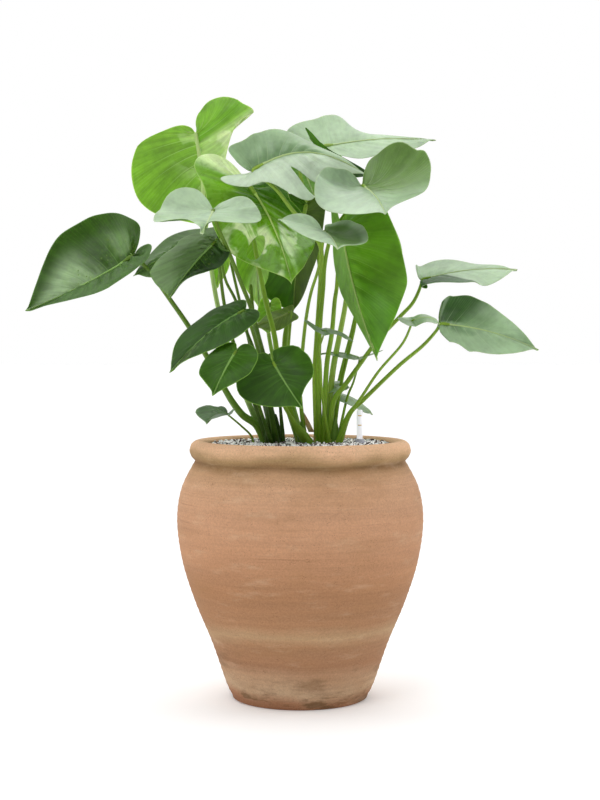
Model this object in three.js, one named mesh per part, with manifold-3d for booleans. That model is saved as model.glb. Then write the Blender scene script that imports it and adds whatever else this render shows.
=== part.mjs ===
// Potted swiss cheese plant: a young climbing aroid in a rolled-rim terracotta jar, with a mineral
// top layer and a water-level gauge. Millimetres, +Z up, origin at the middle of the pot's flat foot.
import * as THREE from 'three';
import { mergeVertices } from 'three/addons/utils/BufferGeometryUtils.js';
import Module from 'manifold-3d';

const wasm = await Module();
wasm.setup();

// Driving dimensions.
const CLEARANCE = 0.35; // gap kept between neighbouring pieces

const POT = {
  height: 420,
  footRadius: 106,
  footRounding: 7,
  // The wall's outside above the foot, as [radius, height], through the belly to the neck under the rim.
  outside: [[121, 26], [144, 92], [171, 157], [192, 223], [201, 289], [194, 342], [172, 387]],
  // The rolled rim is a half round of clay, drawn from under its outer side over the crest.
  roll: { radius: 167, reach: 14, rise: 16, start: -58, sweep: 158, steps: 5 },
  // The inside of the mouth, down to where the wall runs parallel to its outside.
  mouthRadius: 148.5,
  mouth: [[150, 416], [148.5, 408], [150, 396], [157, 380], [178, 340]],
  wall: 15,
  floor: 20,
  floorRadius: 96,
  steps: 9,
  sides: 36,
};

const SUBSTRATE = { top: 398, gap: 0.5 };
const GRAIN = { top: 412, bottom: 398.4, edgeGap: 1.5, relief: 2.2, rings: 7, sides: 32 };

const STEM = {
  bottom: 350,
  radius: 11,
  ringHeights: [421, 434],
  ringRise: 1.4,
  ringBelow: 3,
  ringAbove: 2,
  crown: 6,
  sides: 9,
};
const STEMS = [
  { name: 'stem_left', foot: [-40, 14], top: [-40, 12], height: 462 },
  { name: 'stem_middle', foot: [8, 4], top: [2, 2], height: 452 },
  { name: 'stem_centre', foot: [30, 26], top: [31, 26], height: 452 },
  { name: 'stem_right', foot: [56, 4], top: [58, 4], height: 456 },
];

const BLADE = { thickness: 1.3, rows: 8, columns: 2, cutColumns: 4 };
// The stalks of a stem leave it one above the other, the lowest and the highest this far from its ends.
const STALK = { lowest: 8, highest: 9, taper: 1.6, inBlade: 0.1, sides: 5, thin: 3.3, steps: 5, step: 58 };
// The lobes of a blade reach this far behind its junction, as a share of its length.
const LOBE = 0.2;
// The basal veins all leave the junction up to this share of the way round the margin.
const FAN = 4 / 13;

const GAUGE = {
  x: 98,
  y: 6,
  tubeRadius: 4.9,
  boreRadius: 3.4,
  tubeBottom: 48,
  capThickness: 3,
  chamfer: 1.5,
  sides: 12,
  floatRadius: 2.4,
  floatBottom: 55,
  floatTop: 429,
  floatTravel: 32,
  headroom: 5,
  floatSides: 8,
  collarRadius: 12.5,
  collarHeight: 9,
  collarSides: 16,
};

// Leaves. Each blade is placed by its junction with the stalk, its tip, a point in the middle of the midrib,
// and for each half the edge where it is widest, its lobe and its lower margin. The path is the stalk's, from
// the junction down. Left and right are the leaf's own, seen from its upper side with the tip down. A cup
// sinks a half between midrib and margin, by millimetres, and a pull draws the margin to a point, from that
// share of the way round it.
const LEAVES = [
  {
    name: 'leaf_top_left', stem: 'stem_left', stalk: [5, 3], wave: 2.5,
    junction: [-183, 190, 946], tip: [-165, 245, 784], middle: [-175, 215, 871],
    left: {
      edge: [-78, 160, 984], at: 0.12, lobe: [-152, 203, 995], low: [-129, 200, 901],
      pulls: [
        [0.19, [-169, 198, 992]],
        [0.33, [-123, 189, 1021]],
        [0.45, [-80, 163, 986]],
        [0.6, [-110, 172, 961]],
      ],
    },
    right: {
      edge: [-298, 205, 873], at: 0.35, lobe: [-236, 195, 952], low: [-243, 225, 804], cup: -8,
      pulls: [[0.31, [-271, 198, 938]]],
    },
    path: [[-178, 178, 920], [-171, 165, 883], [-164, 140, 782], [-151, 110, 702],
      [-139, 85, 641], [-121, 60, 575], [-91, 30, 493]],
  },
  {
    name: 'leaf_broad_glossy', stem: 'stem_middle', stalk: [5, 3], wave: 2.5,
    junction: [-82, -10, 835], tip: [-13, -80, 673], middle: [-41, -30, 764],
    left: { edge: [-162, -25, 844], at: 0.2, lobe: [-140, 10, 885], low: [-99, -60, 717] },
    right: { edge: [21, -5, 762], at: 0.35, lobe: [-26, 25, 855], low: [8, -65, 705] },
    cuts: [{ side: 'left', vein: 0.71, from: 0.38, to: 0.93, spread: 0.055 }],
    path: [[-85, 15, 821], [-85, 28, 803], [-80, 35, 768], [-70, 35, 713], [-56, 30, 645],
      [-43, 26, 594], [-31, 20, 518]],
  },
  {
    name: 'leaf_silver_top', stem: 'stem_centre', stalk: [5, 3], wave: 2.5,
    junction: [-75, -60, 855], tip: [110, -30, 850], middle: [14, -50, 886],
    left: {
      edge: [13, -92, 804], at: 0.5, lobe: [-119, -62, 845], low: [64, -50, 854], cup: -5, neck: 0.35,
      pulls: [[0.3, [-108, -74, 832]]],
    },
    right: {
      edge: [-55, -40, 918], at: 0.12, lobe: [-102, -70, 884], low: [41, -20, 895], cup: -3,
      pulls: [[0.15, [-102, -68, 871]], [0.31, [-106, -66, 897]], [0.46, [-61, -40, 920]]],
    },
    cuts: [{ side: 'left', vein: 0.54, from: 0.38, to: 1.0, spread: 0.09 }],
    path: [[-58, -62, 842], [-37, -62, 824], [-13, -55, 793], [16, -40, 761], [33, -20, 737],
      [35, -5, 703], [32, 6, 650], [28, 10, 587], [25, 14, 524]],
  },
  {
    name: 'leaf_far_silver', stem: 'stem_centre', stalk: [5.5, 2.8], wave: 2.5,
    junction: [39, 90, 911], tip: [228, 60, 919], middle: [132, 85, 924],
    left: {
      edge: [107, 42, 885], at: 0.35, lobe: [22, 72, 922], low: [192, 45, 906], neck: 0.6,
      pulls: [[0.31, [37, 62, 908]]],
    },
    right: {
      edge: [55, 150, 972], at: 0.12, lobe: [-14, 115, 943], low: [156, 95, 929],
      pulls: [[0.31, [2, 125, 958]], [0.46, [52, 148, 971]], [0.62, [105, 122, 942]]],
    },
    path: [[52, 85, 883], [74, 80, 820], [84, 70, 735], [77, 52, 651], [65, 40, 587],
      [55, 30, 536]],
  },
  {
    name: 'leaf_shaded', stem: 'stem_right', stalk: [3, 2], wave: 2.5,
    junction: [40, 50, 888], tip: [116, 36, 856], middle: [77, 46, 872],
    left: { edge: [55, 34, 863], at: 0.3, lobe: [10, 44, 912] },
    right: {
      edge: [83, 38, 882], at: 0.3, lobe: [20, 46, 929],
      pulls: [[0.33, [30, 46, 919]], [0.48, [55, 42, 897]]],
    },
    path: [[50, 54, 868], [77, 70, 803], [96, 70, 702], [93, 52, 617], [85, 42, 579],
      [77, 34, 549], [68, 26, 511]],
  },
  {
    name: 'leaf_right_cupped', stem: 'stem_centre', stalk: [4.5, 2.6], wave: 2.5,
    junction: [100, -70, 830], tip: [129, -215, 774], middle: [118, -140, 807],
    left: {
      edge: [20, -145, 815], at: 0.2, lobe: [54, -105, 852], low: [65, -195, 777], cup: 4,
      pulls: [[0.36, [28, -125, 843]], [0.6, [35, -172, 785]]],
    },
    right: {
      edge: [207, -118, 839], at: 0.15, lobe: [139, -63, 883], low: [165, -178, 800], cup: 6,
      pulls: [[0.35, [184, -84, 884]], [0.5, [204, -120, 853]], [0.65, [195, -148, 816]]],
    },
    path: [[90, -50, 815], [73, -30, 788], [55, -15, 763], [46, -8, 737], [40, -5, 703],
      [38, -3, 671], [33, 0, 613], [30, 4, 535]],
  },
  {
    name: 'leaf_small_middle', stem: 'stem_middle', stalk: [3.5, 2], wave: 2.5,
    junction: [37, -110, 754], tip: [57, -220, 721], middle: [48, -165, 742],
    left: { edge: [-34, -140, 770], at: 0.2, lobe: [0, -105, 784], low: [8, -190, 744], cup: -3 },
    right: {
      edge: [105, -150, 742], at: 0.2, lobe: [68, -112, 769], low: [84, -192, 729], cup: 7,
      pulls: [[0.36, [91, -128, 763]], [0.2, [50, -108, 769]]],
    },
    path: [[37, -95, 747], [35, -70, 727], [29, -50, 696], [18, -35, 661], [11, -25, 626],
      [5, -15, 576], [0, 0, 502]],
  },
  {
    name: 'leaf_right_hanging', stem: 'stem_right', stalk: [4.5, 2.6], wave: 2.5,
    junction: [66, -60, 763], tip: [120, -130, 551], middle: [87, -90, 660],
    left: { edge: [62, -30, 678], at: 0.4, lobe: [55, -25, 800], low: [91, -80, 611], cup: 3, neck: 0.8 },
    right: {
      edge: [169, -75, 708], at: 0.3, lobe: [113, -45, 800], low: [154, -112, 631], cup: -6,
      pulls: [[0.36, [148, -58, 773]], [0.56, [168, -95, 669]]],
    },
    path: [[64, -40, 755], [63, -25, 736], [60, -10, 670], [57, -8, 649], [52, -5, 594],
      [44, 0, 543]],
  },
  {
    name: 'leaf_left_winged', stem: 'stem_left', stalk: [4.4, 2.7], wave: 2,
    junction: [-136, -111, 788], tip: [-148, -225, 744], middle: [-142, -162, 767],
    left: {
      edge: [-225, -140, 769], at: 0.22, lobe: [-187, -95, 821], low: [-167, -198, 768],
      pulls: [[0.34, [-218, -116, 794]], [0.56, [-200, -165, 768]], [0.8, [-152, -213, 756]]],
    },
    right: {
      edge: [-65, -142, 778], at: 0.2, lobe: [-101, -100, 805], low: [-120, -200, 763],
      pulls: [[0.31, [-80, -112, 806]], [0.54, [-76, -160, 766]], [0.8, [-139, -213, 760]]],
    },
    path: [[-135, -100, 779], [-130, -85, 762], [-112, -68, 720], [-95, -55, 676],
      [-80, -45, 638], [-68, -35, 592], [-55, -22, 535]],
  },
  {
    name: 'leaf_far_left', stem: 'stem_left', stalk: [7, 3], wave: 2.5,
    junction: [-272, -20, 720], tip: [-441, -60, 631], middle: [-356, -35, 671],
    left: {
      edge: [-350, 15, 788], at: 0.25, lobe: [-277, 10, 783], low: [-415, -20, 716], cup: 9,
      pulls: [[0.33, [-308, 12, 795]], [0.53, [-384, 0, 762]]],
    },
    right: {
      edge: [-276, -60, 688], at: 0.15, lobe: [-247, -28, 741], low: [-356, -60, 651], cup: 4,
      pulls: [[0.15, [-260, -26, 736]], [0.33, [-242, -42, 721]]],
    },
    path: [[-257, -10, 708], [-236, 0, 682], [-214, 5, 651], [-183, 8, 606], [-156, 10, 561],
      [-125, 10, 505], [-112, 10, 483], [-94, 10, 460], [-72, 12, 444]],
  },
  {
    name: 'leaf_left_back', stem: 'stem_left', stalk: [3.2, 2], wave: 2.5,
    junction: [-136, 0, 748], tip: [-273, -10, 688], middle: [-205, 0, 728],
    left: { edge: [-191, 40, 765], at: 0.25 },
    right: { edge: [-196, -5, 698], at: 0.25 },
    path: [[-133, 5, 732], [-129, 8, 712], [-122, 12, 681], [-107, 15, 651], [-89, 18, 600],
      [-71, 20, 551]],
  },
  {
    name: 'leaf_left_ribbed', stem: 'stem_left', stalk: [3.8, 2.2], wave: 2.5,
    junction: [-135, -60, 742], tip: [-206, -110, 649], middle: [-172, -80, 701],
    left: {
      edge: [-228, -75, 702], at: 0.45, lobe: [-177, -50, 751], low: [-231, -95, 677], cup: -5,
      pulls: [[0.36, [-207, -60, 730]]],
    },
    right: {
      edge: [-116, -84, 711], at: 0.2, lobe: [-127, -84, 733], low: [-149, -92, 688], cup: 8,
      pulls: [[0.31, [-117, -86, 725]], [0.77, [-178, -100, 680]]],
    },
    path: [[-133, -48, 725], [-130, -42, 702], [-123, -35, 644], [-112, -28, 593],
      [-94, -18, 535]],
  },
  {
    name: 'leaf_front_left', stem: 'stem_left', stalk: [3.8, 2.2], wave: 2.5,
    junction: [-88, -130, 629], tip: [-201, -170, 533], middle: [-144, -145, 593],
    left: {
      edge: [-148, -110, 621], at: 0.35, lobe: [-94, -115, 646], low: [-197, -147, 570], cup: -4,
      pulls: [[0.33, [-110, -110, 643]]],
    },
    right: {
      edge: [-88, -165, 594], at: 0.15, lobe: [-68, -150, 624], low: [-153, -175, 564], cup: -3,
      pulls: [[0.58, [-129, -172, 573]]],
    },
    path: [[-85, -112, 624], [-79, -98, 609], [-70, -80, 580], [-58, -48, 522]],
  },
  {
    name: 'leaf_front_small', stem: 'stem_left', stalk: [3.2, 2], wave: 2.5,
    junction: [-99, -170, 566], tip: [-133, -190, 498], middle: [-116, -178, 536],
    left: {
      edge: [-152, -175, 541], at: 0.35, lobe: [-111, -160, 577], low: [-147, -187, 519], cup: 3,
      pulls: [[0.36, [-140, -167, 562]], [0.73, [-139, -189, 512]]],
    },
    right: {
      edge: [-66, -170, 551], at: 0.15, lobe: [-80, -158, 575], low: [-95, -188, 521], cup: 3,
      pulls: [[0.5, [-71, -174, 541]]],
    },
    path: [[-97, -152, 565], [-89, -125, 549], [-75, -85, 507]],
  },
  {
    name: 'leaf_front_round', stem: 'stem_middle', stalk: [3.4, 2.2], wave: 2.5,
    junction: [-42, -105, 548], tip: [4, -160, 478], middle: [-20, -130, 512],
    left: {
      edge: [-104, -135, 513], at: 0.25, lobe: [-71, -110, 557], low: [-59, -160, 479], cup: 4,
      pulls: [[0.36, [-97, -122, 537]], [0.58, [-87, -150, 492]], [0.75, [-29, -162, 482]]],
    },
    right: {
      edge: [20, -120, 541], at: 0.25, lobe: [-16, -95, 581], low: [11, -145, 508], cup: 4,
      pulls: [[0.33, [5, -106, 571]], [0.2, [-38, -98, 571]], [0.72, [3, -150, 497]]],
    },
    path: [[-41, -88, 542], [-37, -70, 523], [-26, -40, 479]],
  },
  {
    name: 'leaf_tiny_left', stem: null, stalk: [2, 1.3], wave: 1,
    junction: [-117, -60, 465], tip: [-149, -85, 450], middle: [-134, -72, 464],
    left: { edge: [-151, -55, 478], at: 0.4, lobe: [-126, -50, 478], low: [-165, -70, 465] },
    right: { edge: [-122, -85, 463], at: 0.3, lobe: [-107, -65, 475], low: [-143, -90, 457] },
    base: [-71, 8, 413],
    path: [[-113, -52, 461], [-96, -30, 445], [-79, -5, 425]],
  },
  {
    name: 'leaf_olive_small', stem: 'stem_middle', stalk: [2.6, 1.6], wave: 1.5,
    junction: [-15, 60, 631], tip: [-79, 50, 607], middle: [-45, 52, 617],
    left: { edge: [-28, 40, 604], at: 0.25, lobe: [-5, 50, 619] },
    right: { edge: [-37, 75, 635], at: 0.35, lobe: [-13, 65, 638] },
    path: [[-15, 52, 621], [-18, 46, 584], [-22, 36, 517]],
  },
  {
    name: 'leaf_low_green', stem: 'stem_left', stalk: [2.7, 1.7], wave: 1,
    junction: [-51, 94, 645], tip: [-54, 78, 594], middle: [-53, 92, 618],
    left: { edge: [-73, 86, 626], at: 0.32 },
    right: { edge: [-31, 88, 625], at: 0.3 },
    path: [[-49, 103, 635], [-45, 95, 592], [-37, 60, 517]],
  },
  {
    name: 'leaf_right_flat', stem: 'stem_centre', stalk: [4.8, 2.4], wave: 2.5,
    junction: [204, 40, 684], tip: [358, 10, 700], middle: [279, 30, 700],
    left: {
      edge: [279, -25, 678], at: 0.5, lobe: [218, 22, 675], low: [319, -22, 681], neck: 0.45,
      pulls: [[0.58, [297, -26, 671]]],
    },
    right: { edge: [237, 90, 719], at: 0.2, lobe: [202, 66, 713], low: [308, 45, 711] },
    path: [[201, 38, 675], [196, 34, 662], [186, 30, 644], [165, 24, 622], [127, 16, 582],
      [93, 10, 536], [72, 6, 507], [56, 4, 485]],
  },
  {
    name: 'leaf_far_right', stem: 'stem_right', stalk: [4.5, 2.3], wave: 2.5,
    junction: [229, -20, 610], tip: [386, -40, 568], middle: [307, -25, 598],
    left: {
      edge: [269, -60, 568], at: 0.3, lobe: [234, -28, 600], low: [341, -55, 564], cup: 3, neck: 0.5,
      pulls: [[0.35, [243, -46, 582]], [0.58, [308, -58, 561]]],
    },
    right: {
      edge: [283, 10, 651], at: 0.25, lobe: [239, 0, 648], low: [341, -15, 618], cup: 8,
      pulls: [[0.36, [258, 8, 655]], [0.12, [231, -8, 634]], [0.62, [322, -5, 635]]],
    },
    path: [[223, -18, 600], [202, -14, 576], [163, -10, 543], [105, -5, 487], [82, -3, 464]],
  },
  {
    name: 'leaf_right_thin', stem: 'stem_right', stalk: [3.2, 1.7], wave: 1.5,
    junction: [180, -60, 614], tip: [220, -110, 609], middle: [202, -85, 620],
    left: { edge: [196, -100, 610], at: 0.3, lobe: [159, -75, 619] },
    right: { edge: [197, -45, 625], at: 0.3, lobe: [163, -40, 622] },
    path: [[177, -52, 603], [166, -44, 579], [127, -28, 532], [99, -18, 489], [82, -12, 463]],
  },
  {
    name: 'leaf_low_thin', stem: 'stem_right', stalk: [2.4, 1.3], wave: 1.5,
    junction: [38, -60, 598], tip: [84, -95, 581], middle: [62, -75, 597],
    left: { edge: [52, -100, 592], at: 0.3, lobe: [10, -75, 616] },
    right: { edge: [48, -40, 602], at: 0.3, lobe: [13, -45, 618] },
    path: [[37, -52, 589], [31, -45, 569], [33, -38, 550], [36, -22, 494]],
  },
  {
    name: 'leaf_low_edge', stem: 'stem_right', stalk: [2.4, 1.3], wave: 1,
    junction: [98, 35, 554], tip: [32, 55, 559], middle: [67, 45, 562],
    left: { edge: [74, 5, 555], at: 0.3, lobe: [126, 20, 566] },
    right: { edge: [72, 65, 561], at: 0.3, lobe: [134, 50, 567] },
    path: [[95, 34, 536], [88, 32, 512], [79, 26, 491]],
  },
  {
    name: 'leaf_low_pale', stem: 'stem_right', stalk: [2, 1.2], wave: 1,
    junction: [49, 40, 507], tip: [82, 15, 505], middle: [66, 30, 511],
    left: { edge: [63, 10, 500], at: 0.35 },
    right: { edge: [64, 52, 515], at: 0.35 },
    path: [[47, 38, 499], [47, 32, 476]],
  },
  {
    name: 'leaf_low_right', stem: 'stem_right', stalk: [2, 1.2], wave: 1,
    junction: [58, 38, 495], tip: [121, 30, 460], middle: [90, 36, 481],
    left: { edge: [83, 18, 475], at: 0.35 },
    right: { edge: [92, 56, 485], at: 0.35 },
    path: [[55, 37, 487], [53, 33, 471]],
  },
  {
    name: 'leaf_behind_middle', stem: 'stem_middle', stalk: [6, 3], wave: 2.5,
    junction: [10, 60, 810], tip: [-12, 120, 630], middle: [-5, 85, 716],
    left: { edge: [-54, 95, 694], at: 0.6, lobe: [-25, 60, 819], low: [-51, 110, 652] },
    right: { edge: [37, 90, 762], at: 0.35, lobe: [34, 70, 824], low: [9, 115, 669] },
    path: [[8, 78, 800], [0, 102, 754], [-10, 125, 670], [-20, 105, 618], [-25, 85, 584],
      [-23, 50, 509]],
  },
  {
    name: 'leaf_behind_left', stem: 'stem_left', stalk: [4, 2.4], wave: 2.5,
    junction: [-81, 150, 778], tip: [-71, 165, 638], middle: [-75, 165, 709],
    left: { edge: [-111, 150, 726], at: 0.4 },
    right: { edge: [-48, 150, 726], at: 0.4 },
    path: [[-84, 165, 758], [-87, 172, 706], [-77, 130, 601], [-57, 70, 508]],
  },
  {
    name: 'leaf_behind_lime', stem: 'stem_left', stalk: [3.4, 2], wave: 2.5,
    junction: [-127, 120, 755], tip: [-142, 125, 672], middle: [-136, 128, 718],
    left: { edge: [-153, 125, 718], at: 0.35 },
    right: { edge: [-118, 115, 724], at: 0.35 },
    path: [[-124, 132, 739], [-112, 125, 687], [-95, 100, 618], [-74, 60, 534]],
  },
  {
    name: 'leaf_back_top', stem: 'stem_centre', stalk: [4.5, 2.6], wave: 2.5,
    junction: [0, 190, 900], tip: [33, 300, 830],
    left: { edge: [-68, 230, 887], at: 0.3 },
    right: { edge: [93, 230, 887], at: 0.3 },
    path: [[0, 178, 878], [14, 150, 809], [34, 110, 703], [30, 75, 601], [27, 45, 509]],
  },
  {
    name: 'leaf_back_right', stem: 'stem_right', stalk: [4.2, 2.4], wave: 2.5,
    junction: [125, 150, 766], tip: [151, 250, 659],
    left: { edge: [88, 210, 733], at: 0.3 },
    right: { edge: [180, 205, 743], at: 0.3 },
    path: [[121, 138, 746], [108, 118, 687], [89, 102, 601], [69, 84, 525], [61, 70, 486]],
  },
  {
    name: 'leaf_back_middle', stem: 'stem_middle', stalk: [4.2, 2.4], wave: 2.5,
    junction: [-67, 190, 821], tip: [-69, 300, 739],
    left: { edge: [-121, 240, 802], at: 0.3 },
    right: { edge: [-4, 240, 802], at: 0.3 },
    path: [[-65, 185, 803], [-67, 198, 734], [-60, 185, 633], [-41, 105, 533]],
  },
  {
    name: 'leaf_back_low', stem: 'stem_middle', stalk: [3.2, 2], wave: 2.5,
    junction: [-29, 140, 546], tip: [-39, 215, 481],
    left: { edge: [-70, 175, 525], at: 0.3 },
    right: { edge: [7, 175, 525], at: 0.3 },
    path: [[-27, 128, 536], [-20, 95, 508]],
  },
];

// Solids and meshes.

function toSolid(geometry) {
  const bare = geometry.index ? geometry.clone() : geometry;
  bare.deleteAttribute('normal');
  bare.deleteAttribute('uv');
  const merged = mergeVertices(bare, 1e-3);
  return new wasm.Manifold(
    new wasm.Mesh({
      numProp: 3,
      vertProperties: new Float32Array(merged.attributes.position.array),
      triVerts: new Uint32Array(merged.index.array),
    }),
  );
}

function toGeometry(solid) {
  const mesh = solid.getMesh();
  const geometry = new THREE.BufferGeometry();
  geometry.setAttribute('position', new THREE.BufferAttribute(mesh.vertProperties, 3));
  geometry.setIndex(new THREE.BufferAttribute(mesh.triVerts, 1));
  geometry.computeVertexNormals();
  return geometry;
}

// Cutting can leave crumbs beside a piece, and only the piece itself is kept.
function largest(solid) {
  const parts = solid.decompose();
  return parts.reduce((a, b) => (b.volume() > a.volume() ? b : a));
}

function surface(points, triangles) {
  const geometry = new THREE.BufferGeometry();
  const places = points.flatMap((point) => [point.x, point.y, point.z]);
  geometry.setAttribute('position', new THREE.Float32BufferAttribute(places, 3));
  geometry.setIndex(triangles.flat());
  return geometry;
}

// A profile of [radius, height] pairs turned about the vertical line through x, y.
function turned(profile, sides, x = 0, y = 0) {
  const geometry = new THREE.LatheGeometry(profile.map(([r, z]) => new THREE.Vector2(r, z)), sides);
  geometry.rotateX(Math.PI / 2);
  geometry.translate(x, y, 0);
  return toSolid(geometry);
}

// Pot.

function potOutside() {
  const { footRadius, footRounding, outside, roll, height, steps } = POT;
  const bevel = footRounding * 0.6;
  const start = new THREE.Vector2(footRadius + footRounding * 0.8, footRounding);
  const body = new THREE.SplineCurve([start, ...outside.map(([r, z]) => new THREE.Vector2(r, z))]);
  const points = [[0, 0], [footRadius, 0], [footRadius + bevel, footRounding * 0.3]];
  for (const q of body.getPoints(steps)) {
    points.push([q.x, q.y]);
  }
  for (let i = 1; i <= roll.steps; i += 1) {
    const angle = THREE.MathUtils.degToRad(roll.start + (roll.sweep * i) / roll.steps);
    points.push([roll.radius + roll.reach * Math.cos(angle), height - roll.rise * (1 - Math.sin(angle))]);
  }
  return points;
}

function potInside() {
  const { outside, wall, mouth, floor, floorRadius } = POT;
  const parallel = outside.filter(([, z]) => z < mouth.at(-1)[1]).reverse();
  return [
    ...mouth,
    ...parallel.map(([r, z]) => [r - wall, Math.max(z, floor + wall)]),
    [floorRadius, floor],
    [0, floor],
  ];
}

function buildPot() {
  return turned([...potOutside(), ...potInside()], POT.sides);
}

// Substrate and top layer, which fill the pot to just under its crest.

function insideRadius(height) {
  const wall = potInside();
  for (let i = 0; i + 1 < wall.length; i += 1) {
    const [r0, z0] = wall[i];
    const [r1, z1] = wall[i + 1];
    if (height <= z0 && height >= z1) {
      return r1 + ((r0 - r1) * (height - z1)) / (z0 - z1 || 1);
    }
  }
  return wall[0][0];
}

function buildSubstrate() {
  const { top, gap } = SUBSTRATE;
  const wall = potInside().filter(([r, z]) => r > 0 && z < top).reverse();
  const profile = [[0, POT.floor + gap]];
  for (const [r, z] of wall) {
    profile.push([r - gap, Math.max(z, POT.floor + gap)]);
  }
  profile.push([insideRadius(top) - gap, top], [0, top]);
  return turned(profile, POT.sides);
}

// The grain layer is a little uneven, by two crossed ripples.
function grainHeight(x, y) {
  const across = Math.sin(x * 0.61 + 1.3 * Math.sin(y * 0.37));
  const along = Math.cos(y * 0.53 - 0.9 * Math.sin(x * 0.29));
  return GRAIN.top + GRAIN.relief * across * along;
}

function buildGranulate() {
  const { rings, sides, bottom } = GRAIN;
  const radius = POT.mouthRadius - GRAIN.edgeGap;
  // Every second ring is turned by half a side.
  const onRing = (ring, side) => {
    const angle = (2 * Math.PI * (side + (ring % 2) / 2)) / sides;
    const r = (radius * ring) / rings;
    return new THREE.Vector3(r * Math.cos(angle), r * Math.sin(angle), bottom);
  };
  const points = [new THREE.Vector3(0, 0, GRAIN.top), new THREE.Vector3(0, 0, bottom)];
  for (let ring = 1; ring <= rings; ring += 1) {
    for (let side = 0; side < sides; side += 1) {
      const p = onRing(ring, side);
      points.push(p.setZ(grainHeight(p.x, p.y)));
    }
  }
  const lower = points.length;
  for (let side = 0; side < sides; side += 1) {
    points.push(onRing(rings, side));
  }
  const at = (ring, side) => 2 + (ring - 1) * sides + (side % sides);
  const triangles = [];
  for (let side = 0; side < sides; side += 1) {
    const next = (side + 1) % sides;
    triangles.push([0, at(1, side), at(1, next)]);
    for (let ring = 1; ring < rings; ring += 1) {
      triangles.push([at(ring, side), at(ring + 1, side), at(ring + 1, next)]);
      triangles.push([at(ring, side), at(ring + 1, next), at(ring, next)]);
    }
    triangles.push([at(rings, side), lower + side, lower + next]);
    triangles.push([at(rings, side), lower + next, at(rings, next)]);
    triangles.push([1, lower + next, lower + side]);
  }
  return toSolid(surface(points, triangles));
}

// Stems: short leafy shoots with a raised ring at each old leaf scar.

function buildStem(stem, grow) {
  const { bottom, radius, ringHeights, ringRise, ringBelow, ringAbove, crown, sides } = STEM;
  const profile = [[0, bottom - grow], [radius * 0.7 + grow, bottom - grow]];
  for (const ring of ringHeights) {
    profile.push(
      [radius + grow, ring - ringBelow],
      [radius + ringRise + grow, ring],
      [radius + grow, ring + ringAbove],
    );
  }
  profile.push(
    [radius * 0.95 + grow, stem.height - crown],
    [radius * 0.6 + grow, stem.height - 1 + grow],
    [0, stem.height + grow],
  );
  const leanX = (stem.top[0] - stem.foot[0]) / (stem.height - bottom);
  const leanY = (stem.top[1] - stem.foot[1]) / (stem.height - bottom);
  const lean = new THREE.Matrix4().makeShear(0, 0, 0, 0, leanX, leanY);
  lean.setPosition(stem.foot[0] - leanX * bottom, stem.foot[1] - leanY * bottom, 0);
  return turned(profile, sides).transform(lean.elements);
}

// Leaves. A blade is two halves that meet in the midrib. Its outline is drawn once in leaf units, and each
// half is then laid through its own points: the edge where it is widest, its lobe, and its lower margin.

function halfOutline(at) {
  const rest = 1 - at;
  return [
    [0, 0],
    [0.1, -0.5 * LOBE],
    [0.3, -0.92 * LOBE],
    [0.55, -LOBE],
    [0.8, -0.62 * LOBE],
    [0.955, 0.35 * at - 0.05 * LOBE],
    [1, at],
    [0.955, at + 0.27 * rest],
    [0.8, at + 0.47 * rest],
    [0.56, at + 0.66 * rest],
    [0.3, at + 0.81 * rest],
    [0.12, at + 0.905 * rest],
    [0.035, at + 0.955 * rest],
    [0, 1],
  ];
}

function alongOutline(points, share) {
  const last = points.length - 1;
  const x = Math.min(Math.max(share, 0), 1) * last;
  const i = Math.min(Math.floor(x), last - 1);
  const t = x - i;
  return [0, 1].map((axis) => {
    const p1 = points[i][axis];
    const p2 = points[i + 1][axis];
    const p0 = i > 0 ? points[i - 1][axis] : 2 * p1 - p2;
    const p3 = i + 2 <= last ? points[i + 2][axis] : 2 * p2 - p1;
    const cubic = -p0 + 3 * p1 - 3 * p2 + p3;
    const square = 2 * p0 - 5 * p1 + 4 * p2 - p3;
    return 0.5 * (2 * p1 + (p2 - p0) * t + square * t * t + cubic * t * t * t);
  });
}

// The lateral veins start ever further apart along the midrib, and curve forward towards the margin.
const VEIN_SPACING = 1.35;
const VEIN_CURVE = 1.3;

// Where on the midrib the vein starts that ends at this share of the margin.
function veinRoot(share) {
  return share <= FAN ? 0 : ((share - FAN) / (1 - FAN)) ** VEIN_SPACING;
}

function smooth(t) {
  const x = Math.min(Math.max(t, 0), 1);
  return x * x * (3 - 2 * x);
}

const LOWER_SHARE = 0.62; // the lower margin point lies this far from the widest place to the tip
const LOWER_ACROSS = 0.61; // and has this share of the full half width
const LOBE_ACROSS = 0.55; // a lobe is furthest back at this share of the half width
const LOBE_BLEND = 0.05; // the blade turns from the line of its midrib to that of its lobe over this length
const LOBE_FULL = LOBE - LOBE_BLEND * (1 - Math.exp(-LOBE / LOBE_BLEND));
const PULL_REACH = 0.17; // a point that draws the margin out does so this far to both sides of it
const WAVE = { count: 2.5, phase: { left: 0, right: 1.7 }, calmTip: 0.25 };

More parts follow.
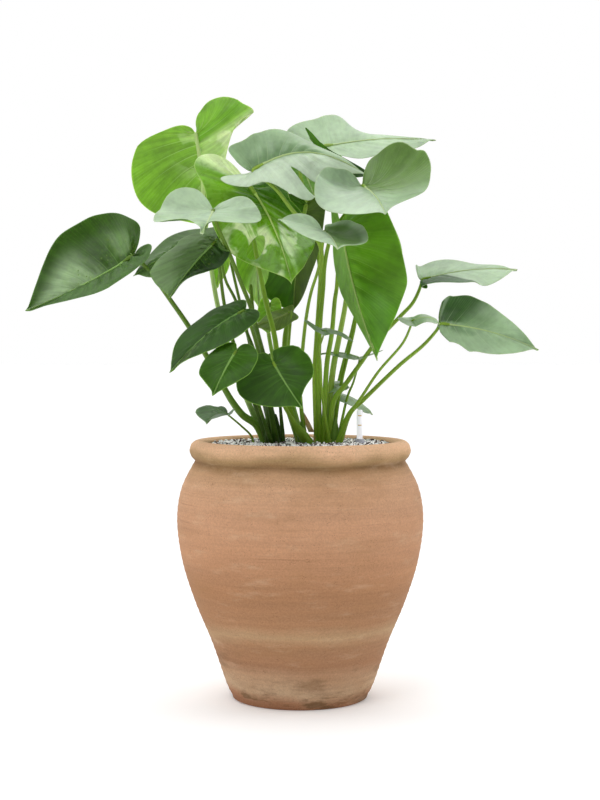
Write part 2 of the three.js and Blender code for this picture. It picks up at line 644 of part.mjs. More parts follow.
function leafForm(leaf) {
  const vector = (p) => new THREE.Vector3(...p);
  const junction = vector(leaf.junction);
  const tip = vector(leaf.tip);
  const axis = tip.clone().sub(junction);
  const bulge = leaf.middle
    ? vector(leaf.middle).addScaledVector(junction, -0.5).addScaledVector(tip, -0.5)
    : new THREE.Vector3();
  const midrib = (b) => junction.clone().addScaledVector(axis, b).addScaledVector(bulge, 4 * b * (1 - b));
  const halves = {};
  for (const side of ['left', 'right']) {
    const h = leaf[side];
    const neck = h.neck ?? 1;
    const wide = vector(h.edge).sub(midrib(h.at));
    const back = h.lobe
      ? vector(h.lobe).sub(junction).addScaledVector(wide, -LOBE_ACROSS * neck)
      : axis.clone().multiplyScalar(-LOBE);
    const low = h.low
      ? vector(h.low).sub(midrib(h.at + LOWER_SHARE * (1 - h.at))).divideScalar(LOWER_ACROSS)
      : wide;
    halves[side] = { at: h.at, neck, wide, back, low, cup: h.cup ?? 0, outline: halfOutline(h.at) };
  }
  const normal = axis.clone().cross(halves.right.wide.clone().sub(halves.left.wide)).normalize();

  // The place in space of a point of a half: across is 0 on the midrib and 1 at the widest edge.
  const place = (side, across, along) => {
    const h = halves[side];
    // Behind the junction the blade turns smoothly from the line of the midrib to that of its lobe.
    const turn = along < 0 ? LOBE_BLEND * (1 - Math.exp(along / LOBE_BLEND)) : 0;
    const ahead = along < 0 ? -turn : along;
    const behind = along < 0 ? -along - turn : 0;
    const lower = smooth((along - h.at) / (1 - h.at) / LOWER_SHARE);
    const widen = h.neck + (1 - h.neck) * smooth(along / h.at);
    return junction
      .clone()
      .addScaledVector(axis, ahead)
      .addScaledVector(h.back, behind / LOBE_FULL)
      .addScaledVector(bulge, 4 * ahead * (1 - ahead))
      .addScaledVector(h.wide, across * widen * (1 - lower))
      .addScaledVector(h.low, across * widen * lower);
  };

  // A margin is drawn out to the points it is given at some shares of the way round it.
  for (const side of ['left', 'right']) {
    halves[side].pulls = (leaf[side].pulls ?? []).map(([share, point]) => {
      const [across, along] = alongOutline(halves[side].outline, share);
      return { share, offset: vector(point).sub(place(side, across, along)) };
    });
  }

  // A point on the vein that ends at this share of the margin, 0 on the midrib and 1 on the margin.
  const onVein = (side, share, out) => {
    const { outline, cup, pulls } = halves[side];
    const [across, along] = alongOutline(outline, share);
    const root = veinRoot(share);
    const point = place(side, across * out, root + (along - root) * out ** VEIN_CURVE);
    for (const pull of pulls) {
      const near = Math.max(0, 1 - ((share - pull.share) / PULL_REACH) ** 2);
      point.addScaledVector(pull.offset, near * near * out * out);
    }
    point.addScaledVector(normal, -4 * cup * across * out * (1 - out));
    const fade = Math.min(1, (1 - share) / WAVE.calmTip);
    const turn = Math.sin(2 * Math.PI * WAVE.count * share + WAVE.phase[side]);
    return point.addScaledVector(normal, leaf.wave * turn * out * out * fade);
  };
  return { midrib, normal, onVein };
}

// A cut or hole opens along a vein, between two lips. The blade gives way to it this far to each side.
const CUT_REACH = 0.11;

function openWidth(cut, out) {
  if (cut.to >= 1) {
    return Math.sqrt(Math.max(0, (out - cut.from) / (1 - cut.from)));
  }
  const middle = (cut.from + cut.to) / 2;
  const half = (cut.to - cut.from) / 2;
  return Math.sqrt(Math.max(0, 1 - ((out - middle) / half) ** 2));
}

function lipShift(cut, share, out, lip) {
  const side = share === cut.vein ? lip : Math.sign(share - cut.vein);
  const fall = Math.max(0, 1 - Math.abs(share - cut.vein) / CUT_REACH);
  return (side * cut.spread * openWidth(cut, out) * fall) / 2;
}

// The rows of a half follow its veins. A cut splits one row into two lips.
function bladeRows(cut) {
  const rows = [];
  for (let i = 0; i <= BLADE.rows; i += 1) {
    const share = i / BLADE.rows;
    if (!cut || Math.abs(share - cut.vein) > 0.25 / BLADE.rows) {
      rows.push({ share, lip: 0 });
    }
  }
  if (cut) {
    rows.push({ share: cut.vein, lip: -1 }, { share: cut.vein, lip: 1 });
    rows.sort((a, b) => a.share - b.share || a.lip - b.lip);
  }
  return rows;
}

// The columns of a half run from the midrib to the margin, with one at each end of a cut.
function bladeColumns(cut) {
  const columns = cut ? BLADE.cutColumns : BLADE.columns;
  const outs = cut ? [cut.from, cut.to] : [];
  for (let j = 0; j <= columns; j += 1) {
    outs.push(j / columns);
  }
  outs.sort((a, b) => a - b);
  return outs.filter((out, j) => j === 0 || out - outs[j - 1] > 0.02);
}

function bladeSheet(leaf, form) {
  const points = [];
  const index = new Map();
  const keep = (p) => {
    const key = [p.x, p.y, p.z].map((v) => v.toFixed(2)).join(' ');
    if (!index.has(key)) {
      index.set(key, points.length);
      points.push(p);
    }
    return index.get(key);
  };
  const triangles = [];
  for (const side of ['left', 'right']) {
    const cut = leaf.cuts?.find((c) => c.side === side);
    const rows = bladeRows(cut);
    const columns = bladeColumns(cut);
    const grid = rows.map(({ share, lip }) =>
      columns.map((out) => keep(form.onVein(side, share + (cut ? lipShift(cut, share, out, lip) : 0), out))),
    );
    for (let i = 0; i + 1 < grid.length; i += 1) {
      if (rows[i].share === rows[i + 1].share) {
        continue;
      }
      for (let j = 0; j + 1 < columns.length; j += 1) {
        const a = grid[i][j];
        const b = grid[i + 1][j];
        const c = grid[i + 1][j + 1];
        const d = grid[i][j + 1];
        const faces = side === 'right' ? [[a, b, c], [a, c, d]] : [[a, c, b], [a, d, c]];
        triangles.push(...faces.filter(([p, q, r]) => p !== q && q !== r && r !== p));
      }
    }
  }
  return { points, triangles };
}

// Gives a sheet its thickness: the same triangles above and below, and a wall along every open edge.
function thicken({ points, triangles }, thickness) {
  const normals = points.map(() => new THREE.Vector3());
  const edges = new Map();
  for (const [a, b, c] of triangles) {
    const face = points[b].clone().sub(points[a]).cross(points[c].clone().sub(points[a]));
    normals[a].add(face);
    normals[b].add(face);
    normals[c].add(face);
    for (const [p, q] of [[a, b], [b, c], [c, a]]) {
      edges.set(`${p} ${q}`, [p, q]);
    }
  }
  const count = points.length;
  const both = [];
  for (const offset of [thickness / 2, -thickness / 2]) {
    points.forEach((p, i) => both.push(p.clone().addScaledVector(normals[i].normalize(), offset)));
  }
  const faces = [];
  for (const [a, b, c] of triangles) {
    faces.push([a, b, c], [a + count, c + count, b + count]);
  }
  for (const [p, q] of edges.values()) {
    if (!edges.has(`${q} ${p}`)) {
      faces.push([q, p, p + count], [q, p + count, q + count]);
    }
  }
  return toSolid(surface(both, faces));
}

// A round stalk swept along a smooth path, from its thick foot to its thin top.
function sweptStalk(path, [footRadius, topRadius], grow) {
  const curve = new THREE.CatmullRomCurve3(path, false, 'centripetal');
  const sides = footRadius < STALK.thin ? STALK.sides - 1 : STALK.sides;
  const steps = Math.max(STALK.steps, Math.round(curve.getLength() / STALK.step));
  const centres = curve.getPoints(steps);
  const points = [];
  const triangles = [];
  let across = new THREE.Vector3(1, 0, 0);
  centres.forEach((centre, i) => {
    const ahead = centres[Math.min(i + 1, steps)].clone().sub(centres[Math.max(i - 1, 0)]).normalize();
    across = across.clone().addScaledVector(ahead, -across.dot(ahead)).normalize();
    const other = ahead.clone().cross(across);
    const t = i / steps;
    const radius = topRadius + (footRadius - topRadius) * (1 - t) ** STALK.taper + grow;
    for (let k = 0; k < sides; k += 1) {
      const angle = (2 * Math.PI * k) / sides;
      points.push(
        centre.clone()
          .addScaledVector(across, radius * Math.cos(angle))
          .addScaledVector(other, radius * Math.sin(angle)),
      );
    }
  });
  for (let i = 0; i < steps; i += 1) {
    for (let k = 0; k < sides; k += 1) {
      const a = i * sides + k;
      const b = i * sides + ((k + 1) % sides);
      triangles.push([a, b, b + sides], [a, b + sides, a + sides]);
    }
  }
  for (let k = 1; k + 1 < sides; k += 1) {
    triangles.push([0, k + 1, k]);
    const last = steps * sides;
    triangles.push([last, last + k, last + k + 1]);
  }
  return toSolid(surface(points, triangles));
}

// The stalks of a stem are evenly spread from just over the grains to its top.
function stalkFoot(leaf) {
  const stem = STEMS.find((s) => s.name === leaf.stem);
  if (!stem) {
    return leaf.base;
  }
  const siblings = LEAVES.filter((other) => other.stem === leaf.stem);
  const order = siblings.indexOf(leaf) / (siblings.length - 1);
  const lowest = GRAIN.top + STALK.lowest;
  return [...stem.top, lowest + order * (stem.height - STALK.highest - lowest)];
}

function stalkPath(leaf, form) {
  const foot = stalkFoot(leaf);
  const way = leaf.path.map((p) => new THREE.Vector3(...p)).reverse();
  const inBlade = form.midrib(STALK.inBlade).addScaledVector(form.normal, -0.4 * BLADE.thickness);
  return [new THREE.Vector3(...foot), ...way, new THREE.Vector3(...leaf.junction), inBlade];
}

// Each leaf is one grown piece, bent and cut clear of the stems and of the stalks before it.
function buildLeaves(stemCutters) {
  const pieces = [];
  const rooted = [];
  const cutters = [...stemCutters];
  for (const leaf of LEAVES) {
    const form = leafForm(leaf);
    const path = stalkPath(leaf, form);
    const grown = thicken(bladeSheet(leaf, form), BLADE.thickness).add(sweptStalk(path, leaf.stalk, 0));
    const solid = largest(cutters.reduce((rest, cutter) => rest.subtract(cutter), grown));
    pieces.push({ name: leaf.name, solid });
    const cutter = sweptStalk(path, leaf.stalk, CLEARANCE);
    cutters.push(cutter);
    if (!leaf.stem) {
      rooted.push(cutter);
    }
  }
  return { pieces, rooted };
}

// Gauge: a clear tube with a closed top, a collar on the grains, and a float rod with a red end inside.

function onGauge(profile, sides) {
  return turned(profile, sides, GAUGE.x, GAUGE.y);
}

function buildGaugeTube() {
  const { boreRadius, tubeRadius, tubeBottom, capThickness, chamfer } = GAUGE;
  const boreTop = GAUGE.floatTop + GAUGE.floatTravel + GAUGE.headroom;
  const top = boreTop + capThickness;
  const profile = [
    [0, boreTop],
    [boreRadius, boreTop],
    [boreRadius, tubeBottom],
    [tubeRadius, tubeBottom],
    [tubeRadius, top - chamfer],
    [tubeRadius - chamfer, top],
    [0, top],
  ];
  return onGauge(profile, GAUGE.sides);
}

function buildGaugeCollar() {
  const { tubeRadius, collarRadius, collarHeight, collarSides } = GAUGE;
  const bore = tubeRadius + CLEARANCE;
  const base = GRAIN.top + CLEARANCE;
  const profile = [
    [bore, base],
    [collarRadius, base],
    [collarRadius, base + 2],
    [collarRadius - 3, base + 5],
    [bore + 1.8, base + collarHeight],
    [bore, base + collarHeight],
    [bore, base],
  ];
  return onGauge(profile, collarSides);
}

function buildGaugeFloat() {
  const { floatRadius, floatBottom, floatTop, floatSides } = GAUGE;
  const profile = [
    [0, floatBottom],
    [floatRadius, floatBottom],
    [floatRadius, floatTop - 1],
    [floatRadius - 1, floatTop],
    [0, floatTop],
  ];
  return onGauge(profile, floatSides);
}

// A plain round hole from a depth to above the grains, for the gauge.
function buildHole(radius, depth, sides) {
  const top = GRAIN.top + 30;
  return onGauge([[0, depth], [radius, depth], [radius, top], [0, top]], sides);
}

// Everything together.

function material(color, roughness, extra = {}) {
  return new THREE.MeshStandardMaterial({ color, roughness, metalness: 0, ...extra });
}

const LOOKS = {
  terracotta: material(0xc49372, 0.85),
  fill: material(0x8a837b, 0.95),
  grains: material(0xd4d2d6, 0.9),
  shoot: material(0x557a2a, 0.55),
  leaf: material(0x3f6b35, 0.45),
  tube: material(0xe6e6ee, 0.15, { transparent: true, opacity: 0.5 }),
  collar: material(0xa9a7b2, 0.4),
  float: material(0xb3392b, 0.4),
};

function buildPlant() {
  const plant = new THREE.Group();
  const addPiece = (name, solid, look) => {
    const mesh = new THREE.Mesh(toGeometry(solid), look);
    mesh.name = name;
    plant.add(mesh);
  };
  const stemCutters = STEMS.map((stem) => buildStem(stem, CLEARANCE));
  const leaves = buildLeaves(stemCutters);
  const tubeHole = buildHole(GAUGE.tubeRadius + CLEARANCE, GAUGE.tubeBottom - 3, GAUGE.sides);
  const collarSeat = buildHole(GAUGE.collarRadius + 1, GRAIN.top - 0.1, GAUGE.collarSides);
  const holes = [...stemCutters, tubeHole, ...leaves.rooted];
  const holed = (solid, cuts) => largest(cuts.reduce((rest, hole) => rest.subtract(hole), solid));

  addPiece('pot', buildPot(), LOOKS.terracotta);
  addPiece('substrate', holed(buildSubstrate(), holes), LOOKS.fill);
  addPiece('granulate', holed(buildGranulate(), [...holes, collarSeat]), LOOKS.grains);
  for (const stem of STEMS) {
    addPiece(stem.name, buildStem(stem, 0), LOOKS.shoot);
  }
  for (const leaf of leaves.pieces) {
    addPiece(leaf.name, leaf.solid, LOOKS.leaf);
  }
  addPiece('gauge_tube', buildGaugeTube(), LOOKS.tube);
  addPiece('gauge_collar', buildGaugeCollar(), LOOKS.collar);
  addPiece('gauge_float', buildGaugeFloat(), LOOKS.float);
  return plant;
}

export default buildPlant();
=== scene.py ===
import math
from dataclasses import dataclass

import bpy
import numpy as np
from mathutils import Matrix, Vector, noise


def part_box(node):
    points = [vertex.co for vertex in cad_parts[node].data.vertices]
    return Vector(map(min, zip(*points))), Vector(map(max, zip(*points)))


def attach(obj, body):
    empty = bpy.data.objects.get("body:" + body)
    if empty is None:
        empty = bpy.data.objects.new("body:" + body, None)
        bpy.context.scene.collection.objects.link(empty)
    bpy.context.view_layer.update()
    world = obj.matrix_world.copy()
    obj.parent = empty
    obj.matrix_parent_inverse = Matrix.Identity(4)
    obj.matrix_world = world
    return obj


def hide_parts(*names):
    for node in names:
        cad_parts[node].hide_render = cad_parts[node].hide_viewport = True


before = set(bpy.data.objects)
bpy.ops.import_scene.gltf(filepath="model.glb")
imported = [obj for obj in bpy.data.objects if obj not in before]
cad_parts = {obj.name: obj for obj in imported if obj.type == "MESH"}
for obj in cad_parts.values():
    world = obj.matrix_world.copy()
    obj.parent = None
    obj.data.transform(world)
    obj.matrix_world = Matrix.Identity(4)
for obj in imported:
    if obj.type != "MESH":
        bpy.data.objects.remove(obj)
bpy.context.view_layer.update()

MM = 0.001

# Driving dimensions, in millimetres, as in the frame. Profiles are lists of [radius, height].
POT_HEIGHT = 420
POT_FOOT = [[0, 0], [106, 0], [110.2, 2.1]]
POT_OUTSIDE = [[111.6, 7], [121, 26], [144, 92], [171, 157], [192, 223], [201, 289], [194, 342], [172, 387]]
POT_ROLL = {"radius": 167, "height": 404, "reach": 14, "rise": 16, "start": -58, "sweep": 158, "steps": 24}
POT_INSIDE = [[150, 416], [148.5, 408], [150, 396], [157, 380], [178, 340]]
POT_FLOOR = [[96, 20], [0, 20]]
POT_FLOOR_ROUND = 35
POT_WALL = 15
POT_SIDES = 160
GRAIN_TOP = 412
GRAIN_EDGE = 147
GRAIN_COUNT = 5200
GRAIN_RADIUS = (1.4, 2.9)
GRAIN_HEIGHT = (-0.6, 3.4)
GRAIN_SHARES = [0.45, 0.13, 0.18, 0.24]
STEM_BOTTOM = 350
STEM_RADIUS = 11
STEM_POINT = 30
STEM_SIDES = 28
STEM_RINGS = 70
STEMS = {
    "stem_left": {"foot": [-40, 14], "top": [-40, 12], "height": 462},
    "stem_middle": {"foot": [8, 4], "top": [2, 2], "height": 452},
    "stem_centre": {"foot": [30, 26], "top": [31, 26], "height": 452},
    "stem_right": {"foot": [56, 4], "top": [58, 4], "height": 456},
}
# Dried remains of sheaths at the foot, as stem, foot, tip and width.
DRY_SHEATHS = [
    ("stem_middle", (19, 12, 432), (1, 14, 472), 9),
    ("stem_centre", (22, 4, 411), (25, 1, 427), 3),
    ("stem_right", (43, -6, 411), (52, -9, 421), 3),
    ("stem_right", (62, -8, 411), (57, -10, 420), 2.5),
]
# A stalk is thickest at its foot, where its sheath clasps the stem, and has a knee just below the blade.
STALK = {"foot": 406, "taper": 1.6, "sheath_from": 14, "sheath_length": 62, "knee_at": 0.93, "sides": 14}
# The round stalk in front has the scars of older leaves, at these distances along it.
RINGED = "leaf_front_round"
RINGS = (22, 37)
# Inside the blade the stalk runs on as the rib, between these shares of its length, a little under it.
RIB = {"start": 0.1, "end": 0.9, "steps": 24, "under": 0.52, "swell": 0.62, "thin": 0.7}
BLADE_THICKNESS = 1.1
MARGIN_THICKNESS = 0.55
GAUGE = {"x": 98, "y": 6, "bore": 3.4, "tube": 4.9, "float": 2.4, "collar": 12.5}
GAUGE_COLLAR = [
    [5.25, 0], [9.8, 0], [9.8, 1.8], [12.4, 1.8], [12.5, 2.6], [11.9, 3.6], [8.4, 6.2], [6.6, 9], [5.25, 9],
]
COLLAR_FOOT = 1.7
CLEARANCE = 0.35
FLOAT_RED = 8
MARKS = {"heights": (444, 459.5), "inner": 4.93, "outer": 5.04, "half": 0.8, "from": -128, "to": -52}
# Camera, floor, light and lamps, in metres.
CAMERA = {"distance": 2.7, "height": 0.58, "lens": 74.07, "sensor": 36, "shift": -57.7 / 800}
FLOOR_SIZE = 40
# Where most of the light comes from, how strong and how narrow it is, and what comes from all round.
LIGHT_FROM = (0, 0.3, 0.954)
LIGHT_ABOVE = 1.9
LIGHT_NARROW = 2.6
LIGHT_AROUND = 0.2
LIGHT_BACK = 0.12
# Each lamp as name, place, aim, size and power.
LAMPS = [
    ("left", (-2.2, 0.2, 1.3), (0, 0, 0.6), (1.2, 1.8), 7),
    ("right", (2.2, 0.2, 1.3), (0, 0, 0.6), (1.2, 1.8), 10),
    ("front", (-0.9, -2.3, 2.9), (0, 0, 0.7), (1.6, 1.6), 32),
]


# The leaves and their looks.

@dataclass
class Palette:
    """Colours of a leaf's upper side, underside, veins, midrib, margin and blotches, how strongly it is
    streaked, how much light it passes, how waxy, shiny and rough it is, and how strongly it is quilted.
    """
    upper: tuple
    under: tuple
    vein: tuple
    rib: tuple = None
    margin: tuple = None
    blotch: tuple = None
    streak: float = 1.0
    thin: float = 0.15
    wax: float = 0.1
    shine: float = 0.3
    rough: float = 0.42
    quilt: float = 1.0


@dataclass
class Tint:
    """A tint of one half of a blade, above or also below. It rises, holds and falls by the number of the
    vein, round the margin, and by the share of the way from the midrib to the margin. Many tints are painted
    light: pale sheen, highlights or light through the leaf, or painted shade on a half that faces away from
    the light.
    """
    half: str
    colour: tuple
    strength: float
    around: tuple = None
    across: tuple = None
    patchy: bool = False
    below: bool = False


@dataclass
class Half:
    """Half of a blade: the share of the midrib where it is widest, and points of its edge there, its lobe
    and its lower margin. A cup sinks it between midrib and margin, a neck draws it in at the junction, and a
    pull draws the margin to a point from a share of the way round it. Left and right are the leaf's own, as
    seen from its upper side with the tip down.
    """
    at: float
    edge: tuple
    lobe: tuple = None
    low: tuple = None
    cup: float = 0
    neck: float = 1.0
    pulls: tuple = ()


@dataclass
class Cut:
    """A cut along a vein, or a hole on it, between two shares of the way from the midrib to the margin."""
    side: str
    vein: float
    start: float
    end: float
    spread: float


@dataclass
class Leaf:
    """A leaf by its stem, the foot of its stalk, the radii of its stalk at foot and top and of its sheath,
    its junction, tip and the middle of its midrib, and the path of its stalk from the junction down.
    """
    name: str
    stem: str
    palette: Palette
    foot: tuple
    stalk: tuple
    junction: tuple
    tip: tuple
    left: Half
    right: Half
    path: list
    middle: tuple = None
    sheath: float = 4.2
    wave: float = 2.5
    cut: Cut = None
    tints: tuple = ()


# Painted light: the bright lime colour is partly the young leaves' own and partly light shining through them
# from behind.
LIME_BACKLIT = Palette((0.23, 0.42, 0.028), (0.22, 0.41, 0.03), (0.5, 0.66, 0.24), (0.55, 0.7, 0.28), thin=0.6,
    quilt=0.7)
GLOSSY = Palette((0.15, 0.36, 0.005), (0.26, 0.46, 0.05), (0.4, 0.6, 0.12), (0.48, 0.68, 0.17), thin=0.3,
    wax=0.45, shine=0.35, rough=0.25, quilt=1.3)
FRESH = Palette((0.12, 0.3, 0.01), (0.13, 0.31, 0.02), (0.27, 0.45, 0.09), (0.4, 0.58, 0.16), streak=0.6,
    thin=0.3)
# Painted shade: a near-black green for a leaf that stands for a band of deep shade.
PAINTED_SHADE = Palette((0.018, 0.07, 0.001), (0.03, 0.11, 0.001), (0.06, 0.16, 0.01), thin=0.1, shine=0.2,
    rough=0.34, quilt=0.6)
# The pale grey-green upper sides of these two are partly the leaves' own colour and partly painted sheen.
SILVER_SHEEN = Palette((0.28, 0.42, 0.23), (0.05, 0.15, 0.005), (0.42, 0.55, 0.3), (0.46, 0.62, 0.24),
    streak=0.4, wax=0.15, shine=0.4, rough=0.36, quilt=0.8)
PALE_SHEEN = Palette((0.4, 0.54, 0.35), (0.06, 0.16, 0.006), (0.48, 0.61, 0.38), (0.52, 0.67, 0.3), streak=0.4,
    rough=0.36, quilt=0.6)
DEEP = Palette((0.032, 0.088, 0.004), (0.08, 0.17, 0.03), (0.13, 0.27, 0.05), (0.27, 0.48, 0.12),
    streak=0.9, shine=0.2, rough=0.38, quilt=2.4)
DARK = Palette((0.036, 0.108, 0.004), (0.07, 0.15, 0.02), (0.09, 0.22, 0.03), (0.24, 0.44, 0.1), wax=0.05,
    shine=0.16, quilt=0.9, margin=(0.22, 0.42, 0.06))
SPECKLED = Palette((0.024, 0.078, 0.004), (0.07, 0.15, 0.02), (0.08, 0.19, 0.03), (0.2, 0.4, 0.09),
    wax=0.08, shine=0.18, rough=0.4, quilt=1.8, margin=(0.22, 0.42, 0.06), blotch=(0.09, 0.18, 0.04))
# Painted shade: partly the leaf's own dark green, partly darkened for the shade it hangs in behind the
# others.
OLIVE_SHADED = Palette((0.03, 0.1, 0.001), (0.07, 0.15, 0.006), (0.13, 0.22, 0.02), (0.2, 0.3, 0.05), thin=0.2,
    wax=0.05, shine=0.2, quilt=0.7)
KHAKI = Palette((0.17, 0.24, 0.045), (0.14, 0.22, 0.03), (0.26, 0.34, 0.09), thin=0.3, quilt=0.7)
GREY = Palette((0.13, 0.23, 0.1), (0.06, 0.14, 0.02), (0.22, 0.33, 0.14), wax=0.3, rough=0.34, quilt=0.6)

